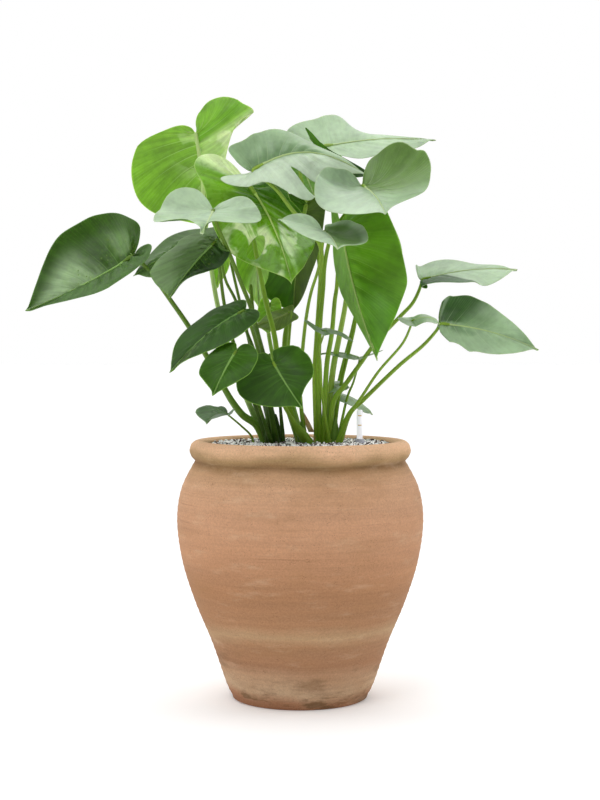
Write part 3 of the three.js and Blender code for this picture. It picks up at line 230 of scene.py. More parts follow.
# Every leaf, with its places in millimetres.
LEAVES = [
    Leaf(
        "leaf_top_left", "stem_left", LIME_BACKLIT, foot=(-51, 18), sheath=6.5, stalk=(5, 3),
        junction=(-183, 190, 946), tip=(-165, 245, 784), middle=(-175, 215, 871),
        left=Half(0.12, (-78, 160, 984), (-152, 203, 995), (-129, 200, 901), pulls=[(0.19, -169, 198, 992),
            (0.33, -123, 189, 1011), (0.45, -80, 163, 986), (0.6, -110, 172, 961)]),
        right=Half(0.35, (-298, 205, 873), (-236, 195, 952), (-243, 225, 804), cup=-8,
            pulls=[(0.31, -271, 198, 938)]),
        path=[(-178, 178, 920), (-171, 165, 883), (-164, 140, 782), (-151, 110, 702), (-139, 85, 641),
            (-121, 60, 575), (-91, 30, 493)],
        tints=[
            Tint("left", (0.15, 0.35, 0.012), 0.7, around=(-1, 0, 4.2, 4.8), below=True),
            # Painted sheen: the pale tints below the crease of the left half and the pale patches near the
            # midrib of the right half.
            Tint("left", (0.46, 0.60, 0.26), 0.8, around=(4.5, 5.2, 7.0, 10), below=True),
            Tint("left", (0.66, 0.76, 0.50), 0.8, around=(4.9, 5.5, 7.0, 9.5), patchy=True, below=True),
            Tint("right", (0.48, 0.62, 0.26), 0.6, across=(-1, 0, 0.12, 0.5), patchy=True, below=True),
        ],
    ),
    Leaf(
        "leaf_broad_glossy", "stem_middle", GLOSSY, foot=(4, 8), sheath=6.5, stalk=(5, 3),
        junction=(-82, -10, 835), tip=(-13, -80, 673), middle=(-41, -30, 764),
        left=Half(0.2, (-162, -25, 844), (-140, 10, 885), (-99, -60, 717)),
        right=Half(0.35, (21, -5, 762), (-26, 25, 855), (8, -65, 705)),
        cut=Cut("left", 0.71, 0.38, 0.93, 0.055),
        path=[(-85, 15, 821), (-85, 28, 803), (-80, 35, 768), (-70, 35, 713), (-56, 30, 645),
            (-43, 26, 594), (-31, 20, 518)],
        tints=[
            Tint("left", (0.045, 0.16, 0.001), 0.85, around=(1.5, 3.4, 6, 8), across=(-1, 0, 0.25, 0.5)),
            # The pale lobe is partly the leaf's own pale colour and partly painted light; the pale patches
            # are painted highlights.
            Tint("left", (0.64, 0.80, 0.38), 0.85, around=(-1, 0, 2.6, 3.6), across=(0.25, 0.5, 2, 3)),
            Tint("left", (0.68, 0.82, 0.46), 0.9, around=(5.5, 7, 10, 11),
                 across=(0.1, 0.3, 2, 3), patchy=True),
            Tint("right", (0.035, 0.14, 0.001), 0.85, around=(-1, 0, 4.2, 6.0)),
            # Painted highlights: pale patches of glints on the right half.
            Tint("right", (0.62, 0.78, 0.46), 0.8, around=(5.5, 7, 9, 10),
                 across=(0.15, 0.3, 0.6, 0.9), patchy=True),
        ],
    ),
    Leaf(
        "leaf_silver_top", "stem_centre", SILVER_SHEEN, foot=(29, 18), sheath=5.5, stalk=(5, 3),
        junction=(-75, -60, 855), tip=(110, -30, 850), middle=(14, -50, 886),
        left=Half(0.5, (13, -92, 804), (-119, -62, 845), (64, -50, 854), cup=-5, neck=0.35,
            pulls=[(0.3, -108, -74, 832)]),
        right=Half(0.12, (-55, -40, 918), (-102, -70, 884), (41, -20, 895), cup=-3,
            pulls=[(0.15, -102, -68, 871), (0.31, -106, -66, 897), (0.46, -61, -40, 920)]),
        cut=Cut("left", 0.54, 0.38, 1.0, 0.09),
        path=[(-58, -62, 842), (-37, -62, 824), (-13, -55, 793), (16, -40, 761), (33, -20, 737),
            (35, -5, 703), (32, 6, 650), (28, 10, 587), (25, 14, 524)],
        tints=[
            # Painted sheen: the pale outer part of the left half, which faces the light.
            Tint("left", (0.54, 0.66, 0.50), 0.85, across=(0.0, 0.2, 2, 3)),
            Tint("right", (0.13, 0.24, 0.10), 0.6, across=(-1, 0, 0.2, 0.6)),
        ],
    ),
    Leaf(
        "leaf_far_silver", "stem_centre", PALE_SHEEN, foot=(41, 24), sheath=5.5, stalk=(5.5, 2.8),
        junction=(39, 90, 911), tip=(228, 60, 919), middle=(132, 85, 924),
        left=Half(0.35, (107, 42, 885), (22, 72, 922), (192, 45, 906), neck=0.6,
            pulls=[(0.31, 37, 62, 908)]),
        right=Half(0.12, (55, 150, 972), (-14, 115, 943), (156, 95, 929), pulls=[(0.31, 2, 125, 958),
            (0.46, 52, 148, 971), (0.62, 105, 122, 942)]),
        path=[(52, 85, 883), (74, 80, 820), (84, 70, 735), (77, 52, 651), (65, 40, 587), (55, 30, 536)],
    ),
    Leaf(
        # Painted shade: a dark leaf that stands for the shaded underside of the silver leaf's near half; its
        # curled head, which rises out of that shade, is less dark.
        "leaf_shaded", "stem_right", PAINTED_SHADE, foot=(52, 18), stalk=(3, 2),
        junction=(40, 50, 888), tip=(116, 36, 856), middle=(77, 46, 872),
        left=Half(0.3, (55, 34, 863), (10, 44, 912)),
        right=Half(0.3, (83, 38, 882), (20, 46, 929), pulls=[(0.33, 30, 46, 919), (0.48, 55, 42, 897)]),
        path=[(50, 54, 868), (77, 70, 803), (96, 70, 702), (93, 52, 617), (85, 42, 579), (77, 34, 549),
            (68, 26, 511)],
        tints=[Tint("right", (0.06, 0.20, 0.002), 0.9, around=(-1, 0, 3.6, 5.0))],
    ),
    Leaf(
        "leaf_right_cupped", "stem_centre", SILVER_SHEEN, foot=(33, 12), sheath=4.8, stalk=(4.5, 2.6),
        junction=(100, -70, 830), tip=(129, -215, 774), middle=(118, -140, 807),
        left=Half(0.2, (20, -145, 815), (54, -105, 852), (65, -195, 777), cup=4,
            pulls=[(0.36, 28, -125, 843), (0.6, 35, -172, 785)]),
        right=Half(0.15, (207, -118, 839), (139, -63, 883), (165, -178, 800), cup=6,
            pulls=[(0.35, 184, -84, 884), (0.5, 204, -120, 853), (0.65, 195, -148, 816)]),
        path=[(90, -50, 815), (73, -30, 788), (55, -15, 763), (46, -8, 737), (40, -5, 703), (38, -3, 671),
            (33, 0, 613), (30, 4, 535)],
        tints=[
            # Painted sheen on the left half, which faces up to the light, and painted shade on the right
            # half, which stands upright away from it.
            Tint("left", (0.48, 0.61, 0.45), 0.6, across=(0.05, 0.4, 2, 3)),
            Tint("right", (0.10, 0.21, 0.018), 0.95, around=(-1, 0, 5.2, 8.5)),
        ],
    ),
    Leaf(
        "leaf_small_middle", "stem_middle", PALE_SHEEN, foot=(10, 12), stalk=(3.5, 2),
        junction=(37, -110, 754), tip=(57, -220, 721), middle=(48, -165, 742),
        left=Half(0.2, (-34, -140, 770), (0, -105, 784), (8, -190, 744), cup=-3),
        right=Half(0.2, (105, -150, 742), (68, -112, 769), (84, -192, 729), cup=7,
            pulls=[(0.36, 91, -128, 763), (0.2, 50, -108, 769)]),
        path=[(37, -95, 747), (35, -70, 727), (29, -50, 696), (18, -35, 661), (11, -25, 626), (5, -15, 576),
            (0, 0, 502)],
        tints=[
            Tint("left", (0.20, 0.31, 0.18), 0.6, across=(-1, 0, 0.12, 0.4)),
            # Painted shade: the right half is darker inside its margin, where it faces away from the light.
            Tint("right", (0.11, 0.23, 0.035), 0.95, across=(-1, 0, 0.78, 0.98)),
        ],
    ),
    Leaf(
        "leaf_right_hanging", "stem_right", FRESH, foot=(39, 10), sheath=4.8, stalk=(4.5, 2.6),
        junction=(66, -60, 763), tip=(120, -130, 551), middle=(87, -90, 660),
        left=Half(0.4, (62, -30, 678), (55, -25, 800), (91, -80, 611), cup=3, neck=0.8),
        right=Half(0.3, (169, -75, 708), (113, -45, 800), (154, -112, 631), cup=-6,
            pulls=[(0.36, 148, -58, 773), (0.56, 168, -95, 669)]),
        path=[(64, -40, 755), (63, -25, 736), (60, -10, 670), (57, -8, 649), (52, -5, 594), (44, 0, 543)],
        tints=[
            Tint("left", (0.16, 0.32, 0.05), 0.7),
            Tint("right", (0.07, 0.23, 0.003), 0.7, around=(6, 8.5, 14, 15), across=(0.1, 0.3, 2, 3)),
        ],
    ),
    Leaf(
        "leaf_left_winged", "stem_left", PALE_SHEEN, foot=(-51, 2), sheath=6.5, stalk=(4.4, 2.7), wave=2,
        junction=(-136, -111, 788), tip=(-148, -225, 744), middle=(-142, -162, 767),
        left=Half(0.22, (-225, -140, 769), (-187, -95, 821), (-167, -198, 768),
            pulls=[(0.34, -218, -116, 794), (0.56, -200, -165, 768), (0.8, -152, -213, 756)]),
        right=Half(0.2, (-65, -142, 778), (-101, -100, 805), (-120, -200, 763),
            pulls=[(0.31, -80, -112, 806), (0.54, -76, -160, 766), (0.8, -139, -213, 760)]),
        path=[(-135, -100, 779), (-130, -85, 762), (-112, -68, 720), (-95, -55, 676), (-80, -45, 638),
            (-68, -35, 592), (-55, -22, 535)],
        tints=[
            Tint("left", (0.26, 0.38, 0.26), 0.6, across=(-1, 0, 0.2, 0.7), patchy=True),
            Tint("right", (0.27, 0.40, 0.24), 0.5, across=(-1, 0, 0.3, 0.8)),
        ],
    ),
    Leaf(
        "leaf_far_left", "stem_left", DEEP, foot=(-54, 10), sheath=7, stalk=(7, 3),
        junction=(-272, -20, 720), tip=(-441, -60, 631), middle=(-356, -35, 671),
        left=Half(0.25, (-350, 15, 788), (-277, 10, 783), (-415, -20, 716), cup=9,
            pulls=[(0.33, -308, 12, 795), (0.53, -384, 0, 762)]),
        right=Half(0.15, (-276, -60, 688), (-247, -28, 741), (-356, -60, 651), cup=4,
            pulls=[(0.15, -260, -26, 736), (0.33, -242, -42, 721)]),
        path=[(-257, -10, 708), (-236, 0, 682), (-214, 5, 651), (-183, 8, 606), (-156, 10, 561),
            (-125, 10, 505), (-112, 10, 483), (-94, 10, 460), (-72, 12, 444)],
        tints=[
            # Painted sheen: the pale streaks on the left half.
            Tint("left", (0.29, 0.41, 0.22), 0.85, around=(5.6, 8, 14, 15), across=(-1, 0, 0.5, 0.95)),
            Tint("left", (0.20, 0.32, 0.13), 0.6, around=(2.6, 3.4, 4.2, 5.2),
                 across=(0.05, 0.2, 0.45, 0.75)),
            Tint("right", (0.10, 0.19, 0.06), 0.6),
        ],
    ),
    Leaf(
        "leaf_left_back", "stem_left", DEEP, foot=(-45, 20), stalk=(3.2, 2),
        junction=(-136, 0, 748), tip=(-273, -10, 688), middle=(-205, 0, 728),
        left=Half(0.25, (-191, 40, 765)),
        right=Half(0.25, (-196, -5, 698)),
        path=[(-133, 5, 732), (-129, 8, 712), (-122, 12, 681), (-107, 15, 651), (-89, 18, 600),
            (-71, 20, 551)],
        tints=[
            Tint("left", (0.10, 0.18, 0.06), 0.6),
            Tint("right", (0.16, 0.26, 0.10), 0.5),
        ],
    ),
    Leaf(
        "leaf_left_ribbed", "stem_left", DEEP, foot=(-47, 8), sheath=6.5, stalk=(3.8, 2.2),
        junction=(-135, -60, 742), tip=(-206, -110, 649), middle=(-172, -80, 701),
        left=Half(0.45, (-228, -75, 702), (-177, -50, 751), (-231, -95, 677), cup=-5,
            pulls=[(0.36, -207, -60, 730)]),
        right=Half(0.2, (-116, -84, 711), (-127, -84, 733), (-149, -92, 688), cup=8,
            pulls=[(0.31, -117, -86, 725), (0.77, -178, -100, 680)]),
        path=[(-133, -48, 725), (-130, -42, 702), (-123, -35, 644), (-112, -28, 593), (-94, -18, 535)],
        tints=[
            # Painted sheen on the left half, and painted shade on the small right half, which is cupped away
            # from the light.
            Tint("left", (0.17, 0.27, 0.11), 0.7, below=True),
            Tint("right", (0.035, 0.08, 0.022), 0.8, across=(0.05, 0.2, 0.9, 1.0)),
        ],
    ),
    Leaf(
        "leaf_front_left", "stem_left", SPECKLED, foot=(-37, 2), sheath=6, stalk=(3.8, 2.2),
        junction=(-88, -130, 629), tip=(-201, -170, 533), middle=(-144, -145, 593),
        left=Half(0.35, (-148, -110, 621), (-94, -115, 646), (-197, -147, 570), cup=-4,
            pulls=[(0.33, -110, -110, 643)]),
        right=Half(0.15, (-88, -165, 594), (-68, -150, 624), (-153, -175, 564), cup=-3,
            pulls=[(0.58, -129, -172, 573)]),
        path=[(-85, -112, 624), (-79, -98, 609), (-70, -80, 580), (-58, -48, 522)],
        tints=[Tint("right", (0.06, 0.09, 0.015), 0.5, around=(8, 10.5, 14, 15))],
    ),
    Leaf(
        "leaf_front_small", "stem_left", DARK, foot=(-44, -4), stalk=(3.2, 2),
        junction=(-99, -170, 566), tip=(-133, -190, 498), middle=(-116, -178, 536),
        left=Half(0.35, (-152, -175, 541), (-111, -160, 577), (-147, -187, 519), cup=3,
            pulls=[(0.36, -140, -167, 562), (0.73, -139, -189, 512)]),
        right=Half(0.15, (-66, -170, 551), (-80, -158, 575), (-95, -188, 521), cup=3,
            pulls=[(0.5, -71, -174, 541)]),
        path=[(-97, -152, 565), (-89, -125, 549), (-75, -85, 507)],
    ),
    Leaf(
        "leaf_front_round", "stem_middle", DARK, foot=(19, 2), sheath=9.5, stalk=(3.4, 2.2),
        junction=(-42, -105, 548), tip=(4, -160, 478), middle=(-20, -130, 512),
        left=Half(0.25, (-104, -135, 513), (-71, -110, 557), (-59, -160, 479), cup=4,
            pulls=[(0.36, -97, -122, 537), (0.58, -87, -150, 492), (0.75, -29, -162, 482)]),
        right=Half(0.25, (20, -120, 541), (-16, -95, 581), (11, -145, 508), cup=4,
            pulls=[(0.33, 5, -106, 571), (0.2, -38, -98, 571), (0.72, 3, -150, 497)]),
        path=[(-41, -88, 542), (-37, -70, 523), (-26, -40, 479)],
    ),
    Leaf(
        "leaf_tiny_left", None, GREY, foot=(-76, 8), sheath=2, stalk=(2, 1.3), wave=1,
        junction=(-117, -60, 465), tip=(-149, -85, 450), middle=(-134, -72, 464),
        left=Half(0.4, (-151, -55, 478), (-126, -50, 478), (-165, -70, 465)),
        right=Half(0.3, (-122, -85, 463), (-107, -65, 475), (-143, -90, 457)),
        path=[(-113, -52, 461), (-96, -30, 445), (-79, -5, 425)],
    ),
    Leaf(
        "leaf_olive_small", "stem_middle", KHAKI, foot=(-2, 16), stalk=(2.6, 1.6), wave=1.5,
        junction=(-15, 60, 631), tip=(-79, 50, 607), middle=(-45, 52, 617),
        left=Half(0.25, (-28, 40, 604), (-5, 50, 619)),
        right=Half(0.35, (-37, 75, 635), (-13, 65, 638)),
        path=[(-15, 52, 621), (-18, 46, 584), (-22, 36, 517)],
    ),
    Leaf(
        "leaf_low_green", "stem_left", LIME_BACKLIT, foot=(-27, 16), sheath=4, stalk=(2.7, 1.7), wave=1,
        junction=(-51, 94, 645), tip=(-54, 78, 594), middle=(-53, 92, 618),
        left=Half(0.32, (-73, 86, 626)),
        right=Half(0.3, (-31, 88, 625)),
        path=[(-49, 103, 635), (-45, 95, 592), (-37, 60, 517)],
    ),
    Leaf(
        "leaf_right_flat", "stem_centre", PALE_SHEEN, foot=(47, 6), sheath=5.5, stalk=(4.8, 2.4),
        junction=(204, 40, 684), tip=(358, 10, 700), middle=(279, 30, 700),
        left=Half(0.5, (279, -25, 678), (218, 22, 675), (319, -22, 681), neck=0.45,
            pulls=[(0.58, 297, -26, 671)]),
        right=Half(0.2, (237, 90, 719), (202, 66, 713), (308, 45, 711)),
        path=[(201, 38, 675), (196, 34, 662), (186, 30, 644), (165, 24, 622), (127, 16, 582), (93, 10, 536),
            (72, 6, 507), (56, 4, 485)],
        # Painted shade: the left half is dark near the junction, where it stands for a shaded fold that
        # shows the underside.
        tints=[Tint("left", (0.015, 0.09, 0.001), 1.0, around=(-1, 0, 5.3, 6.1))],
    ),
    Leaf(
        "leaf_far_right", "stem_right", SILVER_SHEEN, foot=(61, -2), sheath=6, stalk=(4.5, 2.3),
        junction=(229, -20, 610), tip=(386, -40, 568), middle=(307, -25, 598),
        left=Half(0.3, (269, -60, 568), (234, -28, 600), (341, -55, 564), cup=3, neck=0.5,
            pulls=[(0.35, 243, -46, 582), (0.58, 308, -58, 561)]),
        right=Half(0.25, (283, 10, 651), (239, 0, 648), (341, -15, 618), cup=8, pulls=[(0.36, 258, 8, 655),
            (0.12, 231, -8, 634), (0.62, 322, -5, 635)]),
        path=[(223, -18, 600), (202, -14, 576), (163, -10, 543), (105, -5, 487), (82, -3, 464)],
        tints=[
            Tint("right", (0.03, 0.10, 0.012), 0.95, around=(-1, 0, 4.6, 6.6), across=(0.05, 0.2, 2, 3)),
            # Painted sheen: a pale streak along the right half.
            Tint("right", (0.36, 0.49, 0.32), 0.6, around=(2.3, 2.6, 2.9, 3.3), across=(0.1, 0.3, 2, 3)),
            Tint("left", (0.08, 0.18, 0.06), 0.6, around=(3, 4, 6, 8),
                 across=(-1, 0, 0.2, 0.5), patchy=True),
        ],
    ),
    Leaf(
        "leaf_right_thin", "stem_right", SILVER_SHEEN, foot=(56, -6), sheath=3.5, stalk=(3.2, 1.7), wave=1.5,
        junction=(180, -60, 614), tip=(220, -110, 609), middle=(202, -85, 620),
        left=Half(0.3, (196, -100, 610), (159, -75, 619)),
        right=Half(0.3, (197, -45, 625), (163, -40, 622)),
        path=[(177, -52, 603), (166, -44, 579), (127, -28, 532), (99, -18, 489), (82, -12, 463)],
    ),
    Leaf(
        "leaf_low_thin", "stem_right", GREY, foot=(50, -4), sheath=3, stalk=(2.4, 1.3), wave=1.5,
        junction=(38, -60, 598), tip=(84, -95, 581), middle=(62, -75, 597),
        left=Half(0.3, (52, -100, 592), (10, -75, 616)),
        right=Half(0.3, (48, -40, 602), (13, -45, 618)),
        path=[(37, -52, 589), (31, -45, 569), (33, -38, 550), (36, -22, 494)],
    ),
    Leaf(
        "leaf_low_edge", "stem_right", SILVER_SHEEN, foot=(60, 12), sheath=3, stalk=(2.4, 1.3), wave=1,
        junction=(98, 35, 554), tip=(32, 55, 559), middle=(67, 45, 562),
        left=Half(0.3, (74, 5, 555), (126, 20, 566)),
        right=Half(0.3, (72, 65, 561), (134, 50, 567)),
        path=[(95, 34, 536), (88, 32, 512), (79, 26, 491)],
    ),
    Leaf(
        "leaf_low_pale", "stem_right", SILVER_SHEEN, foot=(48, 14), sheath=2.6, stalk=(2, 1.2), wave=1,
        junction=(49, 40, 507), tip=(82, 15, 505), middle=(66, 30, 511),
        left=Half(0.35, (63, 10, 500)),
        right=Half(0.35, (64, 52, 515)),
        path=[(47, 38, 499), (47, 32, 476)],
    ),
    Leaf(
        "leaf_low_right", "stem_right", SILVER_SHEEN, foot=(54, 14), sheath=2.6, stalk=(2, 1.2), wave=1,
        junction=(58, 38, 495), tip=(121, 30, 460), middle=(90, 36, 481),
        left=Half(0.35, (83, 18, 475)),
        right=Half(0.35, (92, 56, 485)),
        path=[(55, 37, 487), (53, 33, 471)],
    ),
    Leaf(
        "leaf_behind_middle", "stem_middle", OLIVE_SHADED, foot=(6, 20), stalk=(6, 3),
        junction=(10, 60, 810), tip=(-12, 120, 630), middle=(-5, 85, 716),
        left=Half(0.6, (-54, 95, 694), (-25, 60, 819), (-51, 110, 652)),
        right=Half(0.35, (37, 90, 762), (34, 70, 824), (9, 115, 669)),
        path=[(8, 78, 800), (0, 102, 754), (-10, 125, 670), (-20, 105, 618), (-25, 85, 584),
            (-23, 50, 509)],
        tints=[
            # Painted shade on the olive-brown right half, and painted light through the brighter green left
            # half.
            Tint("right", (0.06, 0.105, 0.005), 0.9, below=True),
            Tint("left", (0.05, 0.16, 0.002), 0.6),
        ],
    ),
    Leaf(
        "leaf_behind_left", "stem_left", LIME_BACKLIT, foot=(-32, 24), stalk=(4, 2.4),
        junction=(-81, 150, 778), tip=(-71, 165, 638), middle=(-75, 165, 709),
        left=Half(0.4, (-111, 150, 726)),
        right=Half(0.4, (-48, 150, 726)),
        path=[(-84, 165, 758), (-87, 172, 706), (-77, 130, 601), (-57, 70, 508)],
        tints=[
            # Painted light: the pale parts toward the tip and the lighter right half stand for light shining
            # through the leaf from behind.
            Tint("left", (0.62, 0.78, 0.44), 0.8, around=(7, 9.5, 14, 15)),
            Tint("right", (0.62, 0.78, 0.44), 0.8, around=(7, 9.5, 14, 15)),
            Tint("right", (0.36, 0.55, 0.14), 0.7, around=(-1, 0, 7, 9)),
        ],
    ),
    Leaf(
        "leaf_behind_lime", "stem_left", LIME_BACKLIT, foot=(-42, 26), stalk=(3.4, 2),
        junction=(-127, 120, 755), tip=(-142, 125, 672), middle=(-136, 128, 718),
        left=Half(0.35, (-153, 125, 718)),
        right=Half(0.35, (-118, 115, 724)),
        path=[(-124, 132, 739), (-112, 125, 687), (-95, 100, 618), (-74, 60, 534)],
    ),
    Leaf(
        "leaf_back_top", "stem_centre", FRESH, foot=(34, 34), stalk=(4.5, 2.6),
        junction=(0, 190, 900), tip=(33, 300, 830),
        left=Half(0.3, (-68, 230, 887)),
        right=Half(0.3, (93, 230, 887)),
        path=[(0, 178, 878), (14, 150, 809), (34, 110, 703), (30, 75, 601), (27, 45, 509)],
    ),
    Leaf(
        "leaf_back_right", "stem_right", FRESH, foot=(58, 22), stalk=(4.2, 2.4),
        junction=(125, 150, 766), tip=(151, 250, 659),
        left=Half(0.3, (88, 210, 733)),
        right=Half(0.3, (180, 205, 743)),
        path=[(121, 138, 746), (108, 118, 687), (89, 102, 601), (69, 84, 525), (61, 70, 486)],
    ),
    Leaf(
        "leaf_back_middle", "stem_middle", DEEP, foot=(0, 26), stalk=(4.2, 2.4),
        junction=(-67, 190, 821), tip=(-69, 300, 739),
        left=Half(0.3, (-121, 240, 802)),
        right=Half(0.3, (-4, 240, 802)),
        path=[(-65, 185, 803), (-67, 198, 734), (-60, 185, 633), (-41, 105, 533)],
    ),
    Leaf(
        "leaf_back_low", "stem_middle", DEEP, foot=(8, 28), stalk=(3.2, 2),
        junction=(-29, 140, 546), tip=(-39, 215, 481),
        left=Half(0.3, (-70, 175, 525)),
        right=Half(0.3, (7, 175, 525)),
        path=[(-27, 128, 536), (-20, 95, 508)],
    ),
]


# Mesh pieces.

def make_piece(name, points, faces, looks, slots=None, attributes=None, smooth=True):
    """An object at the origin whose mesh holds its place, from points in millimetres."""
    mesh = bpy.data.meshes.new(name)
    mesh.from_pydata((np.asarray(points, float) * MM).tolist(), [], [list(f) for f in faces])
    for look in looks:
        mesh.materials.append(look)
    if slots is not None:
        mesh.polygons.foreach_set("material_index", np.asarray(slots, np.int32))
    for key, values in (attributes or {}).items():
        layer = mesh.attributes.new(key, "FLOAT_VECTOR", "POINT")
        layer.data.foreach_set("vector", np.asarray(values, np.float32).ravel())
    mesh.polygons.foreach_set("use_smooth", [smooth] * len(mesh.polygons))
    mesh.update()
    return add_object(name, mesh)


def add_object(name, data):
    """A new object of the scene."""
    thing = bpy.data.objects.new(name, data)
    bpy.context.scene.collection.objects.link(thing)
    return thing


def grid_faces(rows, columns, first=0):
    """Quads between rows of points, each of which closes on itself."""
    quads = []
    for start in range(first, first + (rows - 1) * columns, columns):
        for j in range(columns):
            a = start + j
            b = start + (j + 1) % columns
            quads.append([a, b, b + columns, a + columns])
    return quads


def rod_faces(rows, columns, first=0):
    """Quads between rows of points, each of which closes on itself, and a face at each end."""
    last = first + (rows - 1) * columns
    ends = [[first + k for k in reversed(range(columns))], [last + k for k in range(columns)]]
    return grid_faces(rows, columns, first) + ends


def turn(profile, sides, x=0.0, y=0.0, wobble=None):
    """Points and faces of a profile of [radius, height] turned about the upright line through x, y.

    A profile that starts and ends on that line closes there, and any other closes on itself.
    """
    profile = np.asarray(profile, float)
    closed = profile[0][0] > 0
    ring = profile if closed else profile[1:-1]
    angles = 2 * math.pi * np.arange(sides) / sides
    radius = ring[:, :1] + (wobble(ring[:, 1:], angles[None, :]) if wobble else 0)
    height = np.repeat(ring[:, 1:], sides, axis=1)
    points = np.stack([x + radius * np.cos(angles), y + radius * np.sin(angles), height], -1).reshape(-1, 3)
    faces = grid_faces(len(ring), sides)
    last = (len(ring) - 1) * sides
    after = [(k + 1) % sides for k in range(sides)]
    if closed:
        return points, faces + [[last + k, last + after[k], after[k], k] for k in range(sides)]
    low = len(points)
    faces += [[low, after[k], k] for k in range(sides)]
    faces += [[low + 1, last + k, last + after[k]] for k in range(sides)]
    return np.vstack([points, [[x, y, profile[0][1]], [x, y, profile[-1][1]]]]), faces


def neighbours(points, share, mirrored=True):
    """The four points round a share of the way along, and the share between the middle two.

    Beyond the ends the points go on as in a mirror, or else the end points are repeated.
    """
    points = np.asarray(points, float)
    before = 2 * points[0] - points[1] if mirrored else points[0]
    after = 2 * points[-1] - points[-2] if mirrored else points[-1]
    padded = np.vstack([[before], points, [after]])
    x = np.clip(share, 0, 1) * (len(points) - 1)
    i = np.minimum(x.astype(int), len(points) - 2)
    return *(padded[i + k] for k in range(4)), (x - i)[..., None]


def even_curve(points, share, mirrored=True):
    """Places on a smooth curve through the points, even in their numbers, as the frame's own curves are."""
    p0, p1, p2, p3, t = neighbours(points, share, mirrored)
    cubic = -p0 + 3 * p1 - 3 * p2 + p3
    square = 2 * p0 - 5 * p1 + 4 * p2 - p3
    return 0.5 * (2 * p1 + (p2 - p0) * t + square * t**2 + cubic * t**3)


def close_curve(points, share):
    """Places on a smooth curve that keeps close to its points where they are near each other."""
    p0, p1, p2, p3, t = neighbours(points, share)
    d0, d1, d2 = (
        np.maximum(np.linalg.norm(b - a, axis=-1), 1e-6)[..., None] ** 0.5
        for a, b in ((p0, p1), (p1, p2), (p2, p3))
    )
    m1 = ((p1 - p0) / d0 - (p2 - p0) / (d0 + d1) + (p2 - p1) / d1) * d1
    m2 = ((p2 - p1) / d1 - (p3 - p1) / (d1 + d2) + (p3 - p2) / d2) * d1
    return p1 + m1 * t + (3 * p2 - 3 * p1 - 2 * m1 - m2) * t**2 + (2 * p1 - 2 * p2 + m1 + m2) * t**3


def sweep(centres, radii, sides, first=0):
    """Points and faces of a round rod along centres, closed at both ends."""
    ahead = np.gradient(centres, axis=0)
    ahead /= np.linalg.norm(ahead, axis=1)[:, None]
    across = np.array([1.0, 0.0, 0.0])
    angles = 2 * math.pi * np.arange(sides)[:, None] / sides
    rings = []
    for centre, way, radius in zip(centres, ahead, radii):
        across = across - across.dot(way) * way
        across /= np.linalg.norm(across)
        rings.append(centre + radius * (np.cos(angles) * across + np.sin(angles) * np.cross(way, across)))
    return np.vstack(rings), rod_faces(len(centres), sides, first)


def smooth(t):
    t = np.clip(t, 0, 1)
    return t * t * (3 - 2 * t)


def hump(value, middle, width):
    """1 at the middle, and falling off like a bell on both sides of it."""
    return np.exp(-(((value - middle) / width) ** 2))


# Materials.

class Wire:
    """A value in a node tree, on which arithmetic adds nodes."""

    def __init__(self, nodes, socket):
        self.nodes = nodes
        self.socket = socket

    def __add__(self, other):
        return self.nodes.math("ADD", self, other)

    def __sub__(self, other):
        return self.nodes.math("SUBTRACT", self, other)

    def __rsub__(self, other):
        return self.nodes.math("SUBTRACT", other, self)

    def __mul__(self, other):
        return self.nodes.math("MULTIPLY", self, other)

    def between(self, low, high, start=0.0, end=1.0):
        """start where the value is at low, end where it is at high, and smooth from one to the other."""
        ends = {"Value": self, "From Min": low, "From Max": high, "To Min": start, "To Max": end}
        return self.nodes.wire("ShaderNodeMapRange", ends, interpolation_type="SMOOTHSTEP")

    def band(self, rise, full, fall, end):
        """1 where the value lies between full and fall, 0 beyond rise and end, and smooth in between."""
        return self.between(rise, full) * self.between(end, fall)


class Nodes:
    """A node tree that is put together node by node."""

    def __init__(self, tree):
        self.tree = tree

    def feed(self, socket, value):
        if isinstance(value, Wire):
            self.tree.links.new(value.socket, socket)
        elif socket.type == "RGBA":
            socket.default_value = (*value[:3], 1)
        else:
            socket.default_value = value

    def node(self, kind, inputs=(), **settings):
        """A node with its settings, whose inputs are fed by their names or numbers."""
        node = self.tree.nodes.new(kind)
        for key, value in settings.items():
            setattr(node, key, value)
        for key, value in dict(inputs).items():
            self.feed(node.inputs[key], value)
        return node

    def wire(self, kind, inputs=(), output=0, **settings):
        return Wire(self, self.node(kind, inputs, **settings).outputs[output])

    def math(self, operation, *values):
        return self.wire("ShaderNodeMath", enumerate(values), operation=operation)

    def parts(self, vector):
        return [Wire(self, output) for output in self.node("ShaderNodeSeparateXYZ", {0: vector}).outputs]


